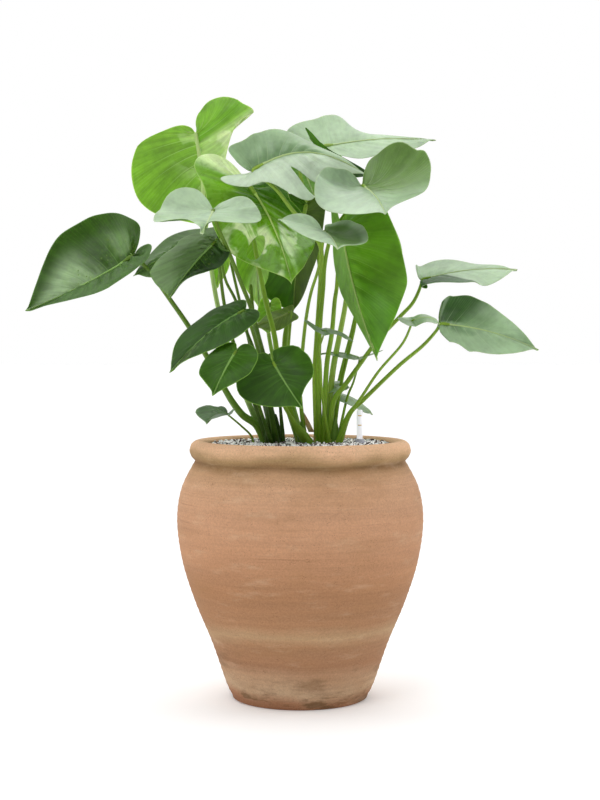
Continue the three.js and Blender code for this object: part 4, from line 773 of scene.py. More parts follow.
class Look(Nodes):
    """A procedural material."""

    def __init__(self, name, **values):
        self.material = bpy.data.materials.new(name)
        self.material.use_nodes = True
        super().__init__(self.material.node_tree)
        self.tree.nodes.clear()
        self.shader = self.node("ShaderNodeBsdfPrincipled")
        self.node("ShaderNodeOutputMaterial", {"Surface": Wire(self, self.shader.outputs["BSDF"])})
        self.set(**values)

    def set(self, **values):
        for key, value in values.items():
            self.feed(self.shader.inputs[key.replace("_", " ").title().replace("Ior", "IOR")], value)

    def mix(self, factor, a, b):
        return self.wire("ShaderNodeMix", {0: factor, 6: a, 7: b}, 2, data_type="RGBA")

    def place(self, scale=(1, 1, 1)):
        """The place on the object, in metres, stretched by scale."""
        here = self.wire("ShaderNodeTexCoord", output="Object")
        return self.wire("ShaderNodeMapping", {"Vector": here, "Scale": scale})

    def noise(self, vector, scale, detail=4.0, roughness=0.55, distortion=0.0):
        inputs = {"Vector": vector, "Scale": scale, "Detail": detail, "Roughness": roughness}
        return self.wire("ShaderNodeTexNoise", {**inputs, "Distortion": distortion}, "Fac")

    def voronoi(self, vector, scale, feature="F1"):
        inputs = {"Vector": vector, "Scale": scale}
        return self.wire("ShaderNodeTexVoronoi", inputs, "Distance", feature=feature)

    def join(self, *values):
        return self.wire("ShaderNodeCombineXYZ", enumerate(values))

    def ramp(self, factor, stops):
        node = self.node("ShaderNodeValToRGB", {"Fac": factor})
        elements = node.color_ramp.elements
        while len(elements) < len(stops):
            elements.new(0.5)
        for element, (position, colour) in zip(elements, stops):
            element.position = position
            element.color = (*colour, 1)
        return Wire(self, node.outputs["Color"])

    def brighten(self, colour, tone):
        return self.wire("ShaderNodeHueSaturation", {"Color": colour, "Value": tone}, "Color")

    def attribute(self, name):
        return self.parts(self.wire("ShaderNodeAttribute", output="Vector", attribute_name=name))

    def bump(self, height, distance, strength):
        inputs = {"Strength": strength, "Distance": distance, "Height": height}
        self.set(normal=self.wire("ShaderNodeBump", inputs))


def blade_look(leaf, seed):
    """A leaf's skin: paler veins and margin, streaks along the veins, and a thin layer that light passes."""
    palette = leaf.palette
    look = Look(leaf.name + "_skin", specular_ior_level=palette.shine, subsurface_scale=0.004)
    phase, spacing, rib = look.attribute("veins")
    edge, upper, out = look.attribute("edges")
    right_half = look.attribute("stalk")[2]
    here = look.place()
    streaks = look.noise(look.join(phase * 2.2, out * 1.3, seed), 1.0, 5, 0.6)
    clouds = look.noise(here, 16)
    mottle = look.noise(here, 110, 5)
    tone = streaks.between(0.3, 0.7, -0.2 * palette.streak, 0.24 * palette.streak)
    tone = tone + clouds.between(0.3, 0.7, 0.86, 1.14) + mottle.between(0.3, 0.7, -0.06, 0.06)
    patches = look.noise(here, 26, 3, 0.5, 0.6).between(0.46, 0.56)
    half = {"right": right_half, "left": 1.0 - right_half}
    base = look.mix(upper, palette.under, palette.upper)
    # Each tint colours part of a half; many are painted sheen, highlights, light through the leaf or shade.
    for tint in leaf.tints:
        strength = half[tint.half] * tint.strength
        if tint.around:
            strength = strength * phase.band(*tint.around)
        if tint.across:
            strength = strength * out.band(*tint.across)
        if tint.patchy:
            strength = strength * patches
        if not tint.below:
            strength = strength * upper
        base = look.mix(strength, base, tint.colour)
    base = look.brighten(base, tone)
    # The side veins, the fine ones between them, the net and the midrib.
    away = look.math("PINGPONG", phase, 0.5) * spacing
    lateral = away.between(0.2, 1.0, 1.0, 0.0) * out.between(0.1, 0.9, 0.5, 0.05)
    fine = look.math("PINGPONG", phase * 6.0, 0.5).between(0.0, 0.2, 0.18, 0.0) * clouds.between(0.35, 0.6)
    net = look.voronoi(here, 480, "DISTANCE_TO_EDGE").between(0.0, 0.08, 0.07, 0.0)
    midrib = (rib + phase.between(3.0, 11.0, -0.6, 0.35)).between(0.8, 1.9, 0.92, 0.0)
    base = look.mix(look.math("MAXIMUM", lateral, look.math("MAXIMUM", fine, net)), base, palette.vein)
    base = look.mix(midrib, base, palette.rib or palette.vein)
    base = look.mix(edge.between(0.5, 1.6, 0.6, 0.0), base, palette.margin or palette.vein)
    if palette.blotch:
        near = rib.between(3.0, 26.0, 1.0, 0.0) * mottle.between(0.5, 0.6) * half["right"]
        base = look.mix(near * 0.75, base, palette.blotch)
    look.set(base_color=base, roughness=mottle.between(0.35, 0.7, palette.rough, palette.rough + 0.1))
    look.set(subsurface_weight=palette.thin, subsurface_radius=(0.7, 1.0, 0.25))
    look.set(coat_weight=palette.wax, coat_roughness=0.3)
    look.bump(mottle * 0.35 - look.math("MAXIMUM", lateral, fine), 0.0006, 0.6)
    return look.material


def stalk_look(name, lower, upper):
    """A stalk's skin: green, darker at the foot, with fine lengthwise lines and scattered pale flecks."""
    look = Look(name, roughness=0.42, specular_ior_level=0.25, subsurface_weight=0.1, subsurface_scale=0.003)
    along, round_it, _ = look.attribute("stalk")
    here = look.place()
    wide = look.noise(here, 40, 3)
    fleck = look.noise(here, 420, 2)
    lengthwise = look.noise(look.join(round_it * 9.0, along), 3.0)
    base = look.mix(along.between(0.02, 0.6), lower, upper)
    base = look.mix(wide.between(0.4, 0.75, 0.0, 0.3), base, [1.5 * c for c in upper])
    base = look.mix(lengthwise.between(0.52, 0.7, 0.0, 0.4), base, [1.9 * c for c in lower])
    look.set(base_color=look.mix(fleck.between(0.6, 0.72, 0.0, 0.25), base, (0.36, 0.47, 0.16)))
    look.bump(wide + lengthwise * 0.5, 0.0006, 0.5)
    return look.material


def dry_look():
    """A dried sheath: papery tan with brown lines."""
    look = Look("dry_sheath", roughness=0.6, subsurface_weight=0.2, subsurface_scale=0.002)
    lines = look.noise(look.place((1, 1, 0.15)), 300)
    tan = look.mix(lines.between(0.35, 0.65), (0.60, 0.40, 0.18), (0.78, 0.64, 0.34))
    look.set(base_color=tan, specular_ior_level=0.3)
    look.bump(lines, 0.0005, 0.4)
    return look.material


# Colours of the clay by height, from the foot (0) to the crest of the rim (1). The dark band just under the
# rolled rim is painted shade in its recess, and the lighter crest of the rim is a painted highlight.
CLAY_BANDS_WITH_PAINTED_LIGHT = [
    (0.0, (0.37, 0.167, 0.084)),
    (0.035, (0.414, 0.211, 0.114)),
    (0.07, (0.581, 0.396, 0.246)),
    (0.12, (0.493, 0.304, 0.18)),
    (0.17, (0.396, 0.207, 0.11)),
    (0.235, (0.414, 0.224, 0.119)),
    (0.28, (0.493, 0.317, 0.176)),
    (0.33, (0.414, 0.22, 0.114)),
    (0.45, (0.414, 0.211, 0.106)),
    (0.58, (0.524, 0.276, 0.15)),
    (0.72, (0.582, 0.32, 0.184)),
    (0.84, (0.601, 0.349, 0.204)),
    (0.89, (0.504, 0.301, 0.165)),
    # Painted shade in the recess under the rolled rim.
    (0.925, (0.28, 0.165, 0.075)),
    (0.95, (0.40, 0.26, 0.125)),
    # Painted highlight on the crest of the rim.
    (0.975, (0.698, 0.436, 0.252)),
    (1.0, (0.815, 0.504, 0.31)),
]


def terracotta_look():
    """Thrown clay: bands by height, with painted shade in the recess under the rim and a painted highlight
    on its crest, fine lines from the wheel, blotches, pores, short cracks, lime, stains and a darkening
    towards the foot.
    """
    look = Look("terracotta", specular_ior_level=0.2)
    here = look.place()
    drift = (look.noise(look.place((1, 1, 2.5)), 5) - 0.5) * 0.05
    level = look.math("DIVIDE", look.parts(here)[2] + drift, POT_HEIGHT * MM)
    wide = look.noise(look.place((0.5, 0.5, 7)), 6, 4, 0.6)
    streaks = look.noise(look.place((0.35, 0.35, 30)), 9, 5, 0.62)
    lines = look.noise(look.place((0.3, 0.3, 110)), 9, 3, 0.6)
    patch = look.noise(here, 8, 3).between(0.42, 0.62)
    grain = look.noise(here, 330, 4, 0.75)
    tone = wide.between(0.3, 0.7, 0.95, 1.05) + grain.between(0.32, 0.68, -0.1, 0.1)
    base = look.brighten(look.ramp(level, CLAY_BANDS_WITH_PAINTED_LIGHT), tone + streaks.between(0.3, 0.7, -0.045, 0.04))
    blotch = look.noise(look.place((1, 1, 2.2)), 9, 6, 0.62)
    base = look.mix(blotch.between(0.48, 0.75, 0.0, 0.4), base, (0.40, 0.21, 0.095))
    # The wheel's lines are deepest on the belly.
    belly = level.between(0.5, 0.6) * level.between(0.9, 0.8)
    scored = lines.between(0.6, 0.7) * patch * (belly * 0.7 + 0.3)
    base = look.mix(scored * 0.55, base, (0.27, 0.12, 0.055))
    pores = look.voronoi(here, 330).between(0.14, 0.26, 1.0, 0.0) * look.noise(here, 60, 3).between(0.5, 0.6)
    base = look.mix(pores * 0.6, base, (0.18, 0.085, 0.04))
    stain = look.noise(look.place((1, 1, 2.6)), 13, 6, 0.66).between(0.5, 0.68, 0.0, 0.55)
    base = look.mix(stain * level.between(0.36, 0.1), base, (0.20, 0.115, 0.055))
    # Darker towards the foot, in soft patches.
    foot_darkening = look.noise(look.place((1, 1, 3.5)), 24, 5, 0.6).between(0.5, 0.62, 0.0, 0.7)
    base = look.mix(foot_darkening * level.between(0.12, 0.03), base, (0.16, 0.09, 0.04))
    shift = look.wire("ShaderNodeTexNoise", output="Color")
    inputs = {0: shift, 1: (0.12, 0.12, 0.12), 2: here}
    bent = look.wire("ShaderNodeVectorMath", inputs, operation="MULTIPLY_ADD")
    cracks = look.voronoi(bent, 38, "DISTANCE_TO_EDGE").between(0.004, 0.03, 1.0, 0.0)
    cracks = cracks * look.noise(here, 21, 5, 0.7).between(0.64, 0.7)
    base = look.mix(cracks * 0.55, base, (0.22, 0.11, 0.05))
    lime = look.noise(look.place((1, 1, 4)), 14, 7, 0.68)
    base = look.mix(lime.between(0.52, 0.76, 0.0, 0.3), base, (0.74, 0.54, 0.36))
    look.set(base_color=base, roughness=wide.between(0.3, 0.7, 0.78, 0.92))
    dents = look.math("MAXIMUM", pores * 0.7, look.math("MAXIMUM", cracks, scored))
    look.bump(streaks * 0.5 + grain * 0.45 - dents, 0.0006, 0.6)
    return look.material


def mineral_look(name, colour, other, painted_glow=0.0):
    """A mineral with an uneven skin. The last argument is painted light: a glow that stands in for light
    scattered in from the grains around.
    """
    look = Look(name, specular_ior_level=0.4, emission_color=colour, emission_strength=painted_glow)
    here = look.place()
    grain = look.noise(here, 420, 3)
    look.set(base_color=look.mix(grain.between(0.35, 0.65), colour, other))
    look.set(roughness=grain.between(0.3, 0.7, 0.6, 0.85))
    look.bump(look.noise(here, 900, 3), 0.0004, 0.5)
    return look.material


def plastic_look(name, colour, rough, **values):
    """Moulded plastic: an even colour with a very fine uneven gloss."""
    look = Look(name, **values)
    soft = look.noise(look.place(), 160, 3)
    look.set(base_color=look.mix(soft.between(0.3, 0.7), colour, [0.93 * c for c in colour]))
    look.set(roughness=soft.between(0.3, 0.7, rough, rough + 0.08))
    return look.material


# Pot.

def build_pot():
    """A jar of thrown clay: the wheel's rings run round it, and it is a little oval."""
    roll = []
    for k in range(1, POT_ROLL["steps"] + 1):
        angle = math.radians(POT_ROLL["start"] + POT_ROLL["sweep"] * k / POT_ROLL["steps"])
        radius = POT_ROLL["radius"] + POT_ROLL["reach"] * math.cos(angle)
        roll.append([radius, POT_ROLL["height"] + POT_ROLL["rise"] * math.sin(angle)])
    outside = even_curve(POT_OUTSIDE, np.linspace(0, 1, 151), mirrored=False)
    belly = [[r - POT_WALL, max(z, POT_FLOOR_ROUND)] for r, z in reversed(POT_OUTSIDE[1:-2])]
    inside = even_curve(POT_INSIDE + belly, np.linspace(0, 1, 61), mirrored=False)
    profile = np.vstack([POT_FOOT, outside, roll, inside, POT_FLOOR])

    def wobble(height, angle):
        rings = 0.22 * np.sin(height * 0.55 + 0.4 * np.sin(angle))
        rings = rings + 0.14 * np.sin(height * 1.31 + np.sin(2 * angle))
        oval = 0.5 * np.sin(2 * angle + height * 0.008) + 0.3 * np.sin(3 * angle + 1.3)
        return (rings + oval) * np.clip(height / 12, 0, 1)

    points, faces = turn(profile, POT_SIDES, wobble=wobble)
    pot = make_piece("terracotta_pot", points, faces, [terracotta_look()])
    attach(pot, "planter")
    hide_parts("pot")


# Mineral top layer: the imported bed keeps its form, and loose grains lie all over it.

def round_grain():
    """Points and faces of a ball of radius 1 with twenty sides: two poles and two rings of five."""
    rings = []
    for height, start in ((1, 0), (-1, 36)):
        for k in range(5):
            angle = math.radians(start + 72 * k)
            rings.append([2 * math.cos(angle), 2 * math.sin(angle), height])
    points = np.vstack([[0, 0, 1], np.array(rings) / math.sqrt(5), [0, 0, -1]])
    faces = []
    for k in range(5):
        high, low = 1 + k, 6 + k
        next_high, next_low = 1 + (k + 1) % 5, 6 + (k + 1) % 5
        faces += [[0, high, next_high], [high, low, next_high]]
        faces += [[low, next_low, next_high], [11, next_low, low]]
    return points, faces


def build_grains():
    """Loose grains of four minerals all over the bed, up to the pot, the stems and the gauge's collar."""
    rng = np.random.default_rng(7)
    unit, sides = round_grain()
    taken = [(*s["foot"], STEM_RADIUS - 1) for s in STEMS.values()]
    taken.append((GAUGE["x"], GAUGE["y"], GAUGE["collar"] - 2))
    points, faces, slots = [], [], []
    while len(points) < GRAIN_COUNT:
        x, y = rng.uniform(-GRAIN_EDGE, GRAIN_EDGE, 2)
        size = rng.uniform(*GRAIN_RADIUS)
        free = all(math.hypot(x - a, y - b) >= r + size for a, b, r in taken)
        if math.hypot(x, y) > GRAIN_EDGE - size or not free:
            continue
        shape = unit * rng.uniform(0.62, 1.2, 3) * rng.uniform(0.82, 1.12, (12, 1)) * size
        spin = np.linalg.qr(rng.normal(size=(3, 3)))[0]
        if np.linalg.det(spin) < 0:
            spin[:, 0] *= -1
        shape = shape @ spin.T + [x, y, GRAIN_TOP + rng.uniform(*GRAIN_HEIGHT)]
        faces += [[len(unit) * len(points) + i for i in side] for side in sides]
        slots += [int(rng.choice(4, p=GRAIN_SHARES))] * len(sides)
        points.append(shape)
    looks = [
        # Painted light: the white grains glow a little, to brighten them in the shade of the leaves.
        mineral_look("grain_white", (0.97, 0.95, 0.93), (0.90, 0.88, 0.85), 0.22),
        mineral_look("grain_pale", (0.70, 0.76, 0.78), (0.80, 0.84, 0.85)),
        mineral_look("grain_grey", (0.27, 0.23, 0.23), (0.42, 0.37, 0.36)),
        mineral_look("grain_brown", (0.055, 0.03, 0.032), (0.12, 0.07, 0.065)),
    ]
    grains = make_piece("loose_grains", np.vstack(points), faces, looks, slots, smooth=False)
    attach(grains, "planter")
    # The bed between the loose grains is near black: partly dark grains, partly painted shade in the gaps
    # between them.
    bed = mineral_look("grain_bed", (0.05, 0.035, 0.035), (0.16, 0.13, 0.12))
    fill = mineral_look("mineral_bed", (0.3, 0.26, 0.23), (0.42, 0.38, 0.34))
    for node, look in (("granulate", bed), ("substrate", fill)):
        bpy.data.objects[node].data.materials.clear()
        bpy.data.objects[node].data.materials.append(look)


# Leaves. These shares and exponents give the blades the form that they have in the frame.

ROW_SPACING = 2.8
FEWEST_ROWS = 22
MOST_ROWS = 66
USUAL_LENGTH = 180
LOBE = 0.2
FAN = 4 / 13
VEIN_SPACING = 1.35
VEIN_CURVE = 1.3
LOWER_SHARE = 0.62
LOWER_ACROSS = 0.61
LOBE_ACROSS = 0.55
LOBE_BLEND = 0.05
LOBE_FULL = LOBE - LOBE_BLEND * (1 - math.exp(-LOBE / LOBE_BLEND))
WAVE_COUNT = 2.5
WAVE_PHASE = {"left": 0.0, "right": 1.7}
WAVE_CALM_TIP = 0.25
PULL_REACH = 0.17
CUT_REACH = 0.11
# The side veins end at these shares of the way round the margin, the first ones all from the junction.
VEIN_SHARES = [0.1, 0.2, 0.3, 0.385, 0.465, 0.545, 0.62, 0.69, 0.76, 0.83, 0.9]


def half_outline(at):
    """A half's outline, as [across, along], from the junction back round its lobe and on to the tip."""
    lobe = [[0, 0], [0.1, -0.5 * LOBE], [0.3, -0.92 * LOBE], [0.55, -LOBE], [0.8, -0.62 * LOBE]]
    upper = [[0.955, 0.35 * at - 0.05 * LOBE], [1, at]]
    lower = ((0.955, 0.27), (0.8, 0.47), (0.56, 0.66), (0.3, 0.81), (0.12, 0.905), (0.035, 0.955), (0, 1))
    return np.array(lobe + upper + [[across, at + share * (1 - at)] for across, share in lower])


class Blade:
    """The form of a leaf's blade, as the frame has it."""

    def __init__(self, leaf):
        self.leaf = leaf
        self.junction = np.array(leaf.junction, float)
        tip = np.array(leaf.tip, float)
        self.axis = tip - self.junction
        self.length = float(np.linalg.norm(self.axis))
        self.bulge = np.array(leaf.middle, float) - (self.junction + tip) / 2 if leaf.middle else np.zeros(3)
        self.halves = {"left": self.half(leaf.left), "right": self.half(leaf.right)}
        for side, half in self.halves.items():
            for share, *point in half["given"].pulls:
                outline = even_curve(half["outline"], np.array(share))
                half["pulls"].append((share, np.array(point, float) - self.place(side, *outline)))
        self.normal = np.cross(self.axis, self.halves["right"]["wide"] - self.halves["left"]["wide"])
        self.normal /= np.linalg.norm(self.normal)

    def half(self, given):
        wide = np.array(given.edge, float) - self.midrib(given.at)
        back = -LOBE * self.axis
        if given.lobe:
            back = np.array(given.lobe, float) - self.junction - LOBE_ACROSS * given.neck * wide
        low = wide
        if given.low:
            level = given.at + LOWER_SHARE * (1 - given.at)
            low = (np.array(given.low, float) - self.midrib(level)) / LOWER_ACROSS
        outline = half_outline(given.at)
        return {"given": given, "wide": wide, "back": back, "low": low, "outline": outline, "pulls": []}

    def midrib(self, along):
        along = np.asarray(along, float)[..., None]
        return self.junction + along * self.axis + self.bulge * 4 * along * (1 - along)

    def place(self, side, across, along):
        half = self.halves[side]
        at, neck = half["given"].at, half["given"].neck
        turned = np.where(along < 0, LOBE_BLEND * (1 - np.exp(np.minimum(along, 0) / LOBE_BLEND)), 0)
        ahead = np.where(along < 0, -turned, along)
        behind = np.where(along < 0, -along - turned, 0)
        lower = smooth((along - at) / (1 - at) / LOWER_SHARE)
        widen = neck + (1 - neck) * smooth(along / at)
        return (
            self.midrib(ahead)
            + (behind / LOBE_FULL)[..., None] * half["back"]
            + (across * widen * (1 - lower))[..., None] * half["wide"]
            + (across * widen * lower)[..., None] * half["low"]
        )

    def on_vein(self, side, share, out):
        """The place at a share of the way round the margin, and so far out on the vein that ends there."""
        half = self.halves[side]
        outline = even_curve(half["outline"], share)
        root = np.where(share <= FAN, 0.0, (np.maximum(share - FAN, 0) / (1 - FAN)) ** VEIN_SPACING)
        point = self.place(side, outline[..., 0] * out, root + (outline[..., 1] - root) * out**VEIN_CURVE)
        for middle, offset in half["pulls"]:
            near = np.maximum(0, 1 - ((share - middle) / PULL_REACH) ** 2)
            point = point + (near * near * out * out)[..., None] * offset
        turned = np.sin(2 * math.pi * WAVE_COUNT * share + WAVE_PHASE[side])
        lift = self.leaf.wave * turned * out * out * np.minimum(1, (1 - share) / WAVE_CALM_TIP)
        lift = lift - 4 * half["given"].cup * outline[..., 0] * out * (1 - out)
        return point + lift[..., None] * self.normal


def lip_shift(cut, share, out, lip):
    """How far a cut or hole pushes the blade aside, as a share of the way round the margin."""
    if cut.end >= 1:
        width = np.sqrt(np.maximum(0, (out - cut.start) / (1 - cut.start)))
    else:
        middle = (cut.start + cut.end) / 2
        width = np.sqrt(np.maximum(0, 1 - ((out - middle) / (cut.end - middle)) ** 2))
    side = np.where(share == cut.vein, lip, np.sign(share - cut.vein))
    return side * cut.spread * width * np.maximum(0, 1 - np.abs(share - cut.vein) / CUT_REACH) / 2


def half_grid(blade, side, rows, outs):
    """The grid of one half, in rows along its veins, with what its looks need at each point."""
    cut = blade.leaf.cut if blade.leaf.cut and blade.leaf.cut.side == side else None
    shares = np.linspace(0, 1, rows + 1)
    lips = np.zeros(rows + 1)
    if cut:
        keep = np.abs(shares - cut.vein) > 0.25 / rows
        shares = np.concatenate([shares[keep], [cut.vein] * 2])
        lips = np.concatenate([lips[keep], [-1, 1]])
        order = np.lexsort([lips, shares])
        shares, lips = shares[order], lips[order]
        outs = np.unique(np.concatenate([outs, [cut.start, cut.end]]))
    share, out = np.meshgrid(shares, outs, indexing="ij")
    moved = share + lip_shift(cut, share, out, lips[:, None]) if cut else share
    points = blade.on_vein(side, moved, out)
    count = len(VEIN_SHARES)
    phase = np.interp(moved, [0, *VEIN_SHARES, 1], [0.5, *range(1, count + 1), count + 0.5])
    across = np.linalg.norm(np.gradient(points, axis=0), axis=-1)
    spacing = across / np.maximum(np.abs(np.gradient(phase, axis=0)), 1e-4)
    steps = np.linalg.norm(np.diff(points, axis=1), axis=-1)
    edge = np.concatenate([np.cumsum(steps[:, ::-1], axis=1)[:, ::-1], np.zeros((len(shares), 1))], axis=1)
    faces = []
    for i in range(len(shares) - 1):
        if shares[i] == shares[i + 1]:
            continue
        for j in range(len(outs) - 1):
            a = i * len(outs) + j
            quad = [a, a + len(outs), a + len(outs) + 1, a + 1]
            faces.append(quad if side == "right" else quad[::-1])
    flat = [v.reshape(-1) for v in (phase, spacing, edge, out, np.full(out.shape, float(side == "right")))]
    return points.reshape(-1, 3), faces, np.stack(flat, 1)


def blade_sheet(blade):
    """Both halves joined along the midrib, as points, faces and what the looks need."""
    rows = int(np.clip(blade.length / ROW_SPACING, FEWEST_ROWS, MOST_ROWS))
    outs = np.concatenate([[0, 0.012, 0.03, 0.06, 0.1], np.linspace(0.16, 0.96, 15), [0.985, 1.0]])
    points, faces, facts = half_grid(blade, "left", rows, outs)
    other_points, other_faces, other_facts = half_grid(blade, "right", rows, outs)
    faces = faces + [[i + len(points) for i in face] for face in other_faces]
    points = np.vstack([points, other_points])
    facts = np.vstack([facts, other_facts])
    _, first, index = np.unique(np.round(points, 2), axis=0, return_index=True, return_inverse=True)
    index = index.reshape(-1)
    merged = []
    for face in faces:
        ring = [int(index[i]) for i in face]
        ring = [v for k, v in enumerate(ring) if v != ring[k - 1]]
        if len(set(ring)) >= 3 and len(set(ring)) == len(ring):
            merged.append(ring)
    return points[first], merged, facts[first]


def sheet_normals(points, faces):
    normals = np.zeros_like(points)
    for face in faces:
        p = points[face]
        normals[face] += np.cross(p[2] - p[0], p[-1] - p[1])
    return normals / np.maximum(np.linalg.norm(normals, axis=1), 1e-9)[:, None]


def blade_solid(blade, seed):
    """Points, faces and attributes of a blade with its thickness, quilted between its veins."""
    points, faces, facts = blade_sheet(blade)
    phase, spacing, edge, out, right = facts.T
    normals = sheet_normals(points, faces)
    ribs = blade.midrib(np.linspace(0, 1, 60))
    rib = np.sqrt(((points[:, None] - ribs[None]) ** 2).sum(-1).min(1))
    scale = blade.length / USUAL_LENGTH
    spots = np.array([noise.noise(Vector(p * 0.018) + Vector((seed, 0, 0))) for p in points])
    quilt = blade.leaf.palette.quilt * 2.2 * scale
    swell = quilt * np.sin(math.pi * phase) ** 2 * smooth(out / 0.12) * (1 - smooth((out - 0.3) / 0.5))
    swell *= np.clip(0.75 + 1.3 * np.roll(spots, 40), 0, 1.5) * smooth((12.2 - phase) / 4)
    groove = -1.3 * scale * hump(rib, 0, 7 * scale) * smooth(out / 0.02)
    crumple = 2.4 * scale * spots * smooth(out / 0.3)
    points = points + (swell + groove + crumple)[:, None] * normals
    half_thick = (MARGIN_THICKNESS + (BLADE_THICKNESS - MARGIN_THICKNESS) * smooth(edge / 4)) / 2
    ridge = 0.8 * hump(rib, 0, 1.6)
    vein = 0.25 * hump(spacing * np.abs(phase - np.round(phase)), 0, 1.2)
    upper = points + (half_thick + 0.35 * ridge)[:, None] * normals
    under = points - (half_thick + ridge + vein)[:, None] * normals
    count = len(points)
    directed = {(a, b) for face in faces for a, b in zip(face, face[1:] + face[:1])}
    solid = faces + [[i + count for i in reversed(f)] for f in faces]
    solid += [[b, a, a + count, b + count] for a, b in sorted(directed) if (b, a) not in directed]
    nothing = np.zeros(count)
    attributes = {
        "veins": np.tile(np.stack([phase, spacing, rib], 1), (2, 1)),
        "edges": np.vstack([np.stack([edge, np.full(count, side), out], 1) for side in (1.0, 0.0)]),
        "stalk": np.tile(np.stack([nothing, nothing, right], 1), (2, 1)),
    }
    return np.vstack([upper, under]), solid, attributes


def stalk_form(leaf, blade):
    """Centres and radii of a stalk and of the rib that it becomes, and how far along the stalk each lies."""
    under = RIB["under"] * blade.normal
    inside = blade.midrib(RIB["start"]) - under
    route = [(*leaf.foot, STALK["foot"]), *reversed(leaf.path), leaf.junction, inside]
    t = np.linspace(0, 1, 16 * (len(route) - 1) + 1)
    centres = close_curve(route, t)
    foot, top = leaf.stalk
    radii = top + (foot - top) * (1 - t) ** STALK["taper"]
    walked = np.concatenate([[0], np.cumsum(np.linalg.norm(np.diff(centres, axis=0), axis=1))])
    clasped = 1 - smooth((walked - STALK["sheath_from"]) / STALK["sheath_length"])
    radii = radii + (leaf.sheath - foot) * clasped
    for ring in RINGS if leaf.name == RINGED else ():
        radii = radii + 1.2 * hump(walked, ring, 1.6) - 0.5 * hump(walked, ring - 4, 2.5)
    radii = radii * (1 + 0.14 * hump(t, STALK["knee_at"], 0.035))
    rib_at = np.linspace(RIB["start"], RIB["end"], RIB["steps"])[1:]
    thick = top * RIB["swell"]
    centres = np.vstack([centres, blade.midrib(rib_at) - under])
    radii = np.concatenate([radii, thick + (RIB["thin"] - thick) * smooth(rib_at)])
    return centres, radii, np.concatenate([t, np.ones(len(rib_at))])


def build_leaf(leaf, number):
    """A leaf grown in one piece: its blade, its stalk and the rib on the blade's underside. Its number gives
    it crumples and streaks of its own.
    """
    blade = Blade(leaf)
    points, faces, attributes = blade_solid(blade, 3.7 * number)
    centres, radii, along = stalk_form(leaf, blade)
    sides = STALK["sides"]
    rod, quads = sweep(centres, radii, sides, len(points))
    # The rib has the skin of the blade, in the colour of its midrib.
    on_stalk = (np.count_nonzero(along < 1) - 1) * sides
    slots = [0] * len(faces) + [1] * on_stalk + [0] * (len(quads) - on_stalk)
    slots[-2] = 1
    round_it = np.abs(np.arange(sides) * 2 / sides - 1)
    rod_facts = {
        "veins": np.tile([0.5, 10, 0], (len(rod), 1)),
        "edges": np.tile([10, 1, 0], (len(rod), 1)),
        "stalk": np.stack([np.repeat(along, sides), np.tile(round_it, len(along)), np.zeros(len(rod))], 1),
    }
    attributes = {key: np.vstack([attributes[key], rod_facts[key]]) for key in attributes}
    skin = STALK_SKINS.get(leaf.name, STALK_SKINS.get(leaf.stem, STALK_SKINS["usual"]))
    looks = [blade_look(leaf, 2.3 * number), skin]
    points = np.vstack([points, rod])
    piece = make_piece(leaf.name + "_grown", points, faces + quads, looks, slots, attributes)
    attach(piece, "planter")
    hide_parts(leaf.name)


def dry_sheath(foot, tip, width, first):
    """Points and faces of a thin curled strip that ends in a point."""
    foot, tip = np.array(foot, float), np.array(tip, float)
    front = [(across, 0.0) for across in (-1, -0.5, 0, 0.5, 1)]
    ring = np.array(front + [(across, 0.7) for across, _ in reversed(front)])
    share = np.linspace(0, 1, 12)[:, None]
    half = 0.5 * width * (1 - share**2.5) + 0.2
    across, depth = ring.T
    sideways = half * across
    bend = np.stack([sideways, depth + 0.25 * sideways * across, np.zeros_like(sideways)], -1)
    points = (foot + share * (tip - foot))[:, None] + bend
    return points.reshape(-1, 3), rod_faces(len(share), len(ring), first)


def build_stems():
    """The short stems, each a rod that narrows to a point, with the dried sheaths that cling to them."""
    dark = stalk_look("stem_dark_skin", (0.016, 0.042, 0.002), (0.03, 0.075, 0.004))
    green = stalk_look("stem_skin", (0.06, 0.13, 0.01), (0.12, 0.24, 0.025))
    dry = dry_look()
    round_it = np.tile(np.abs(np.arange(STEM_SIDES) * 2 / STEM_SIDES - 1), STEM_RINGS)
    for name, stem in STEMS.items():
        heights = np.linspace(STEM_BOTTOM, stem["height"], STEM_RINGS)
        radii = (STEM_RADIUS - 2.5) * np.clip((stem["height"] - heights) / STEM_POINT, 0.02, 1) ** 0.6
        along = (heights - STEM_BOTTOM) / (stem["height"] - STEM_BOTTOM)
        foot, top = np.array(stem["foot"]), np.array(stem["top"])
        centres = np.column_stack([foot + along[:, None] * (top - foot), heights])
        points, faces = sweep(centres, radii, STEM_SIDES)
        slots = [0] * len(faces)
        facts = np.stack([np.repeat(along, STEM_SIDES), round_it, np.zeros(len(points))], 1)
        for owner, low, high, width in DRY_SHEATHS:
            if owner == name:
                strip, strip_faces = dry_sheath(low, high, width, len(points))
                points = np.vstack([points, strip])
                facts = np.vstack([facts, np.zeros((len(strip), 3))])
                faces = faces + strip_faces
                slots += [1] * len(strip_faces)
        skin = dark if name == "stem_left" else green
        piece = make_piece(name + "_grown", points, faces, [skin, dry], slots, {"stalk": facts})
        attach(piece, "planter")
        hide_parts(name)


# Gauge.

def on_gauge(name, profile, sides, looks, second=lambda z: False):
    """A turned piece of the gauge. second tells from its heights whether a face has the second look."""
    points, faces = turn(profile, sides, GAUGE["x"], GAUGE["y"])
    slots = [int(second([points[i][2] for i in face])) for face in faces]
    return make_piece(name, points, faces, looks, slots)


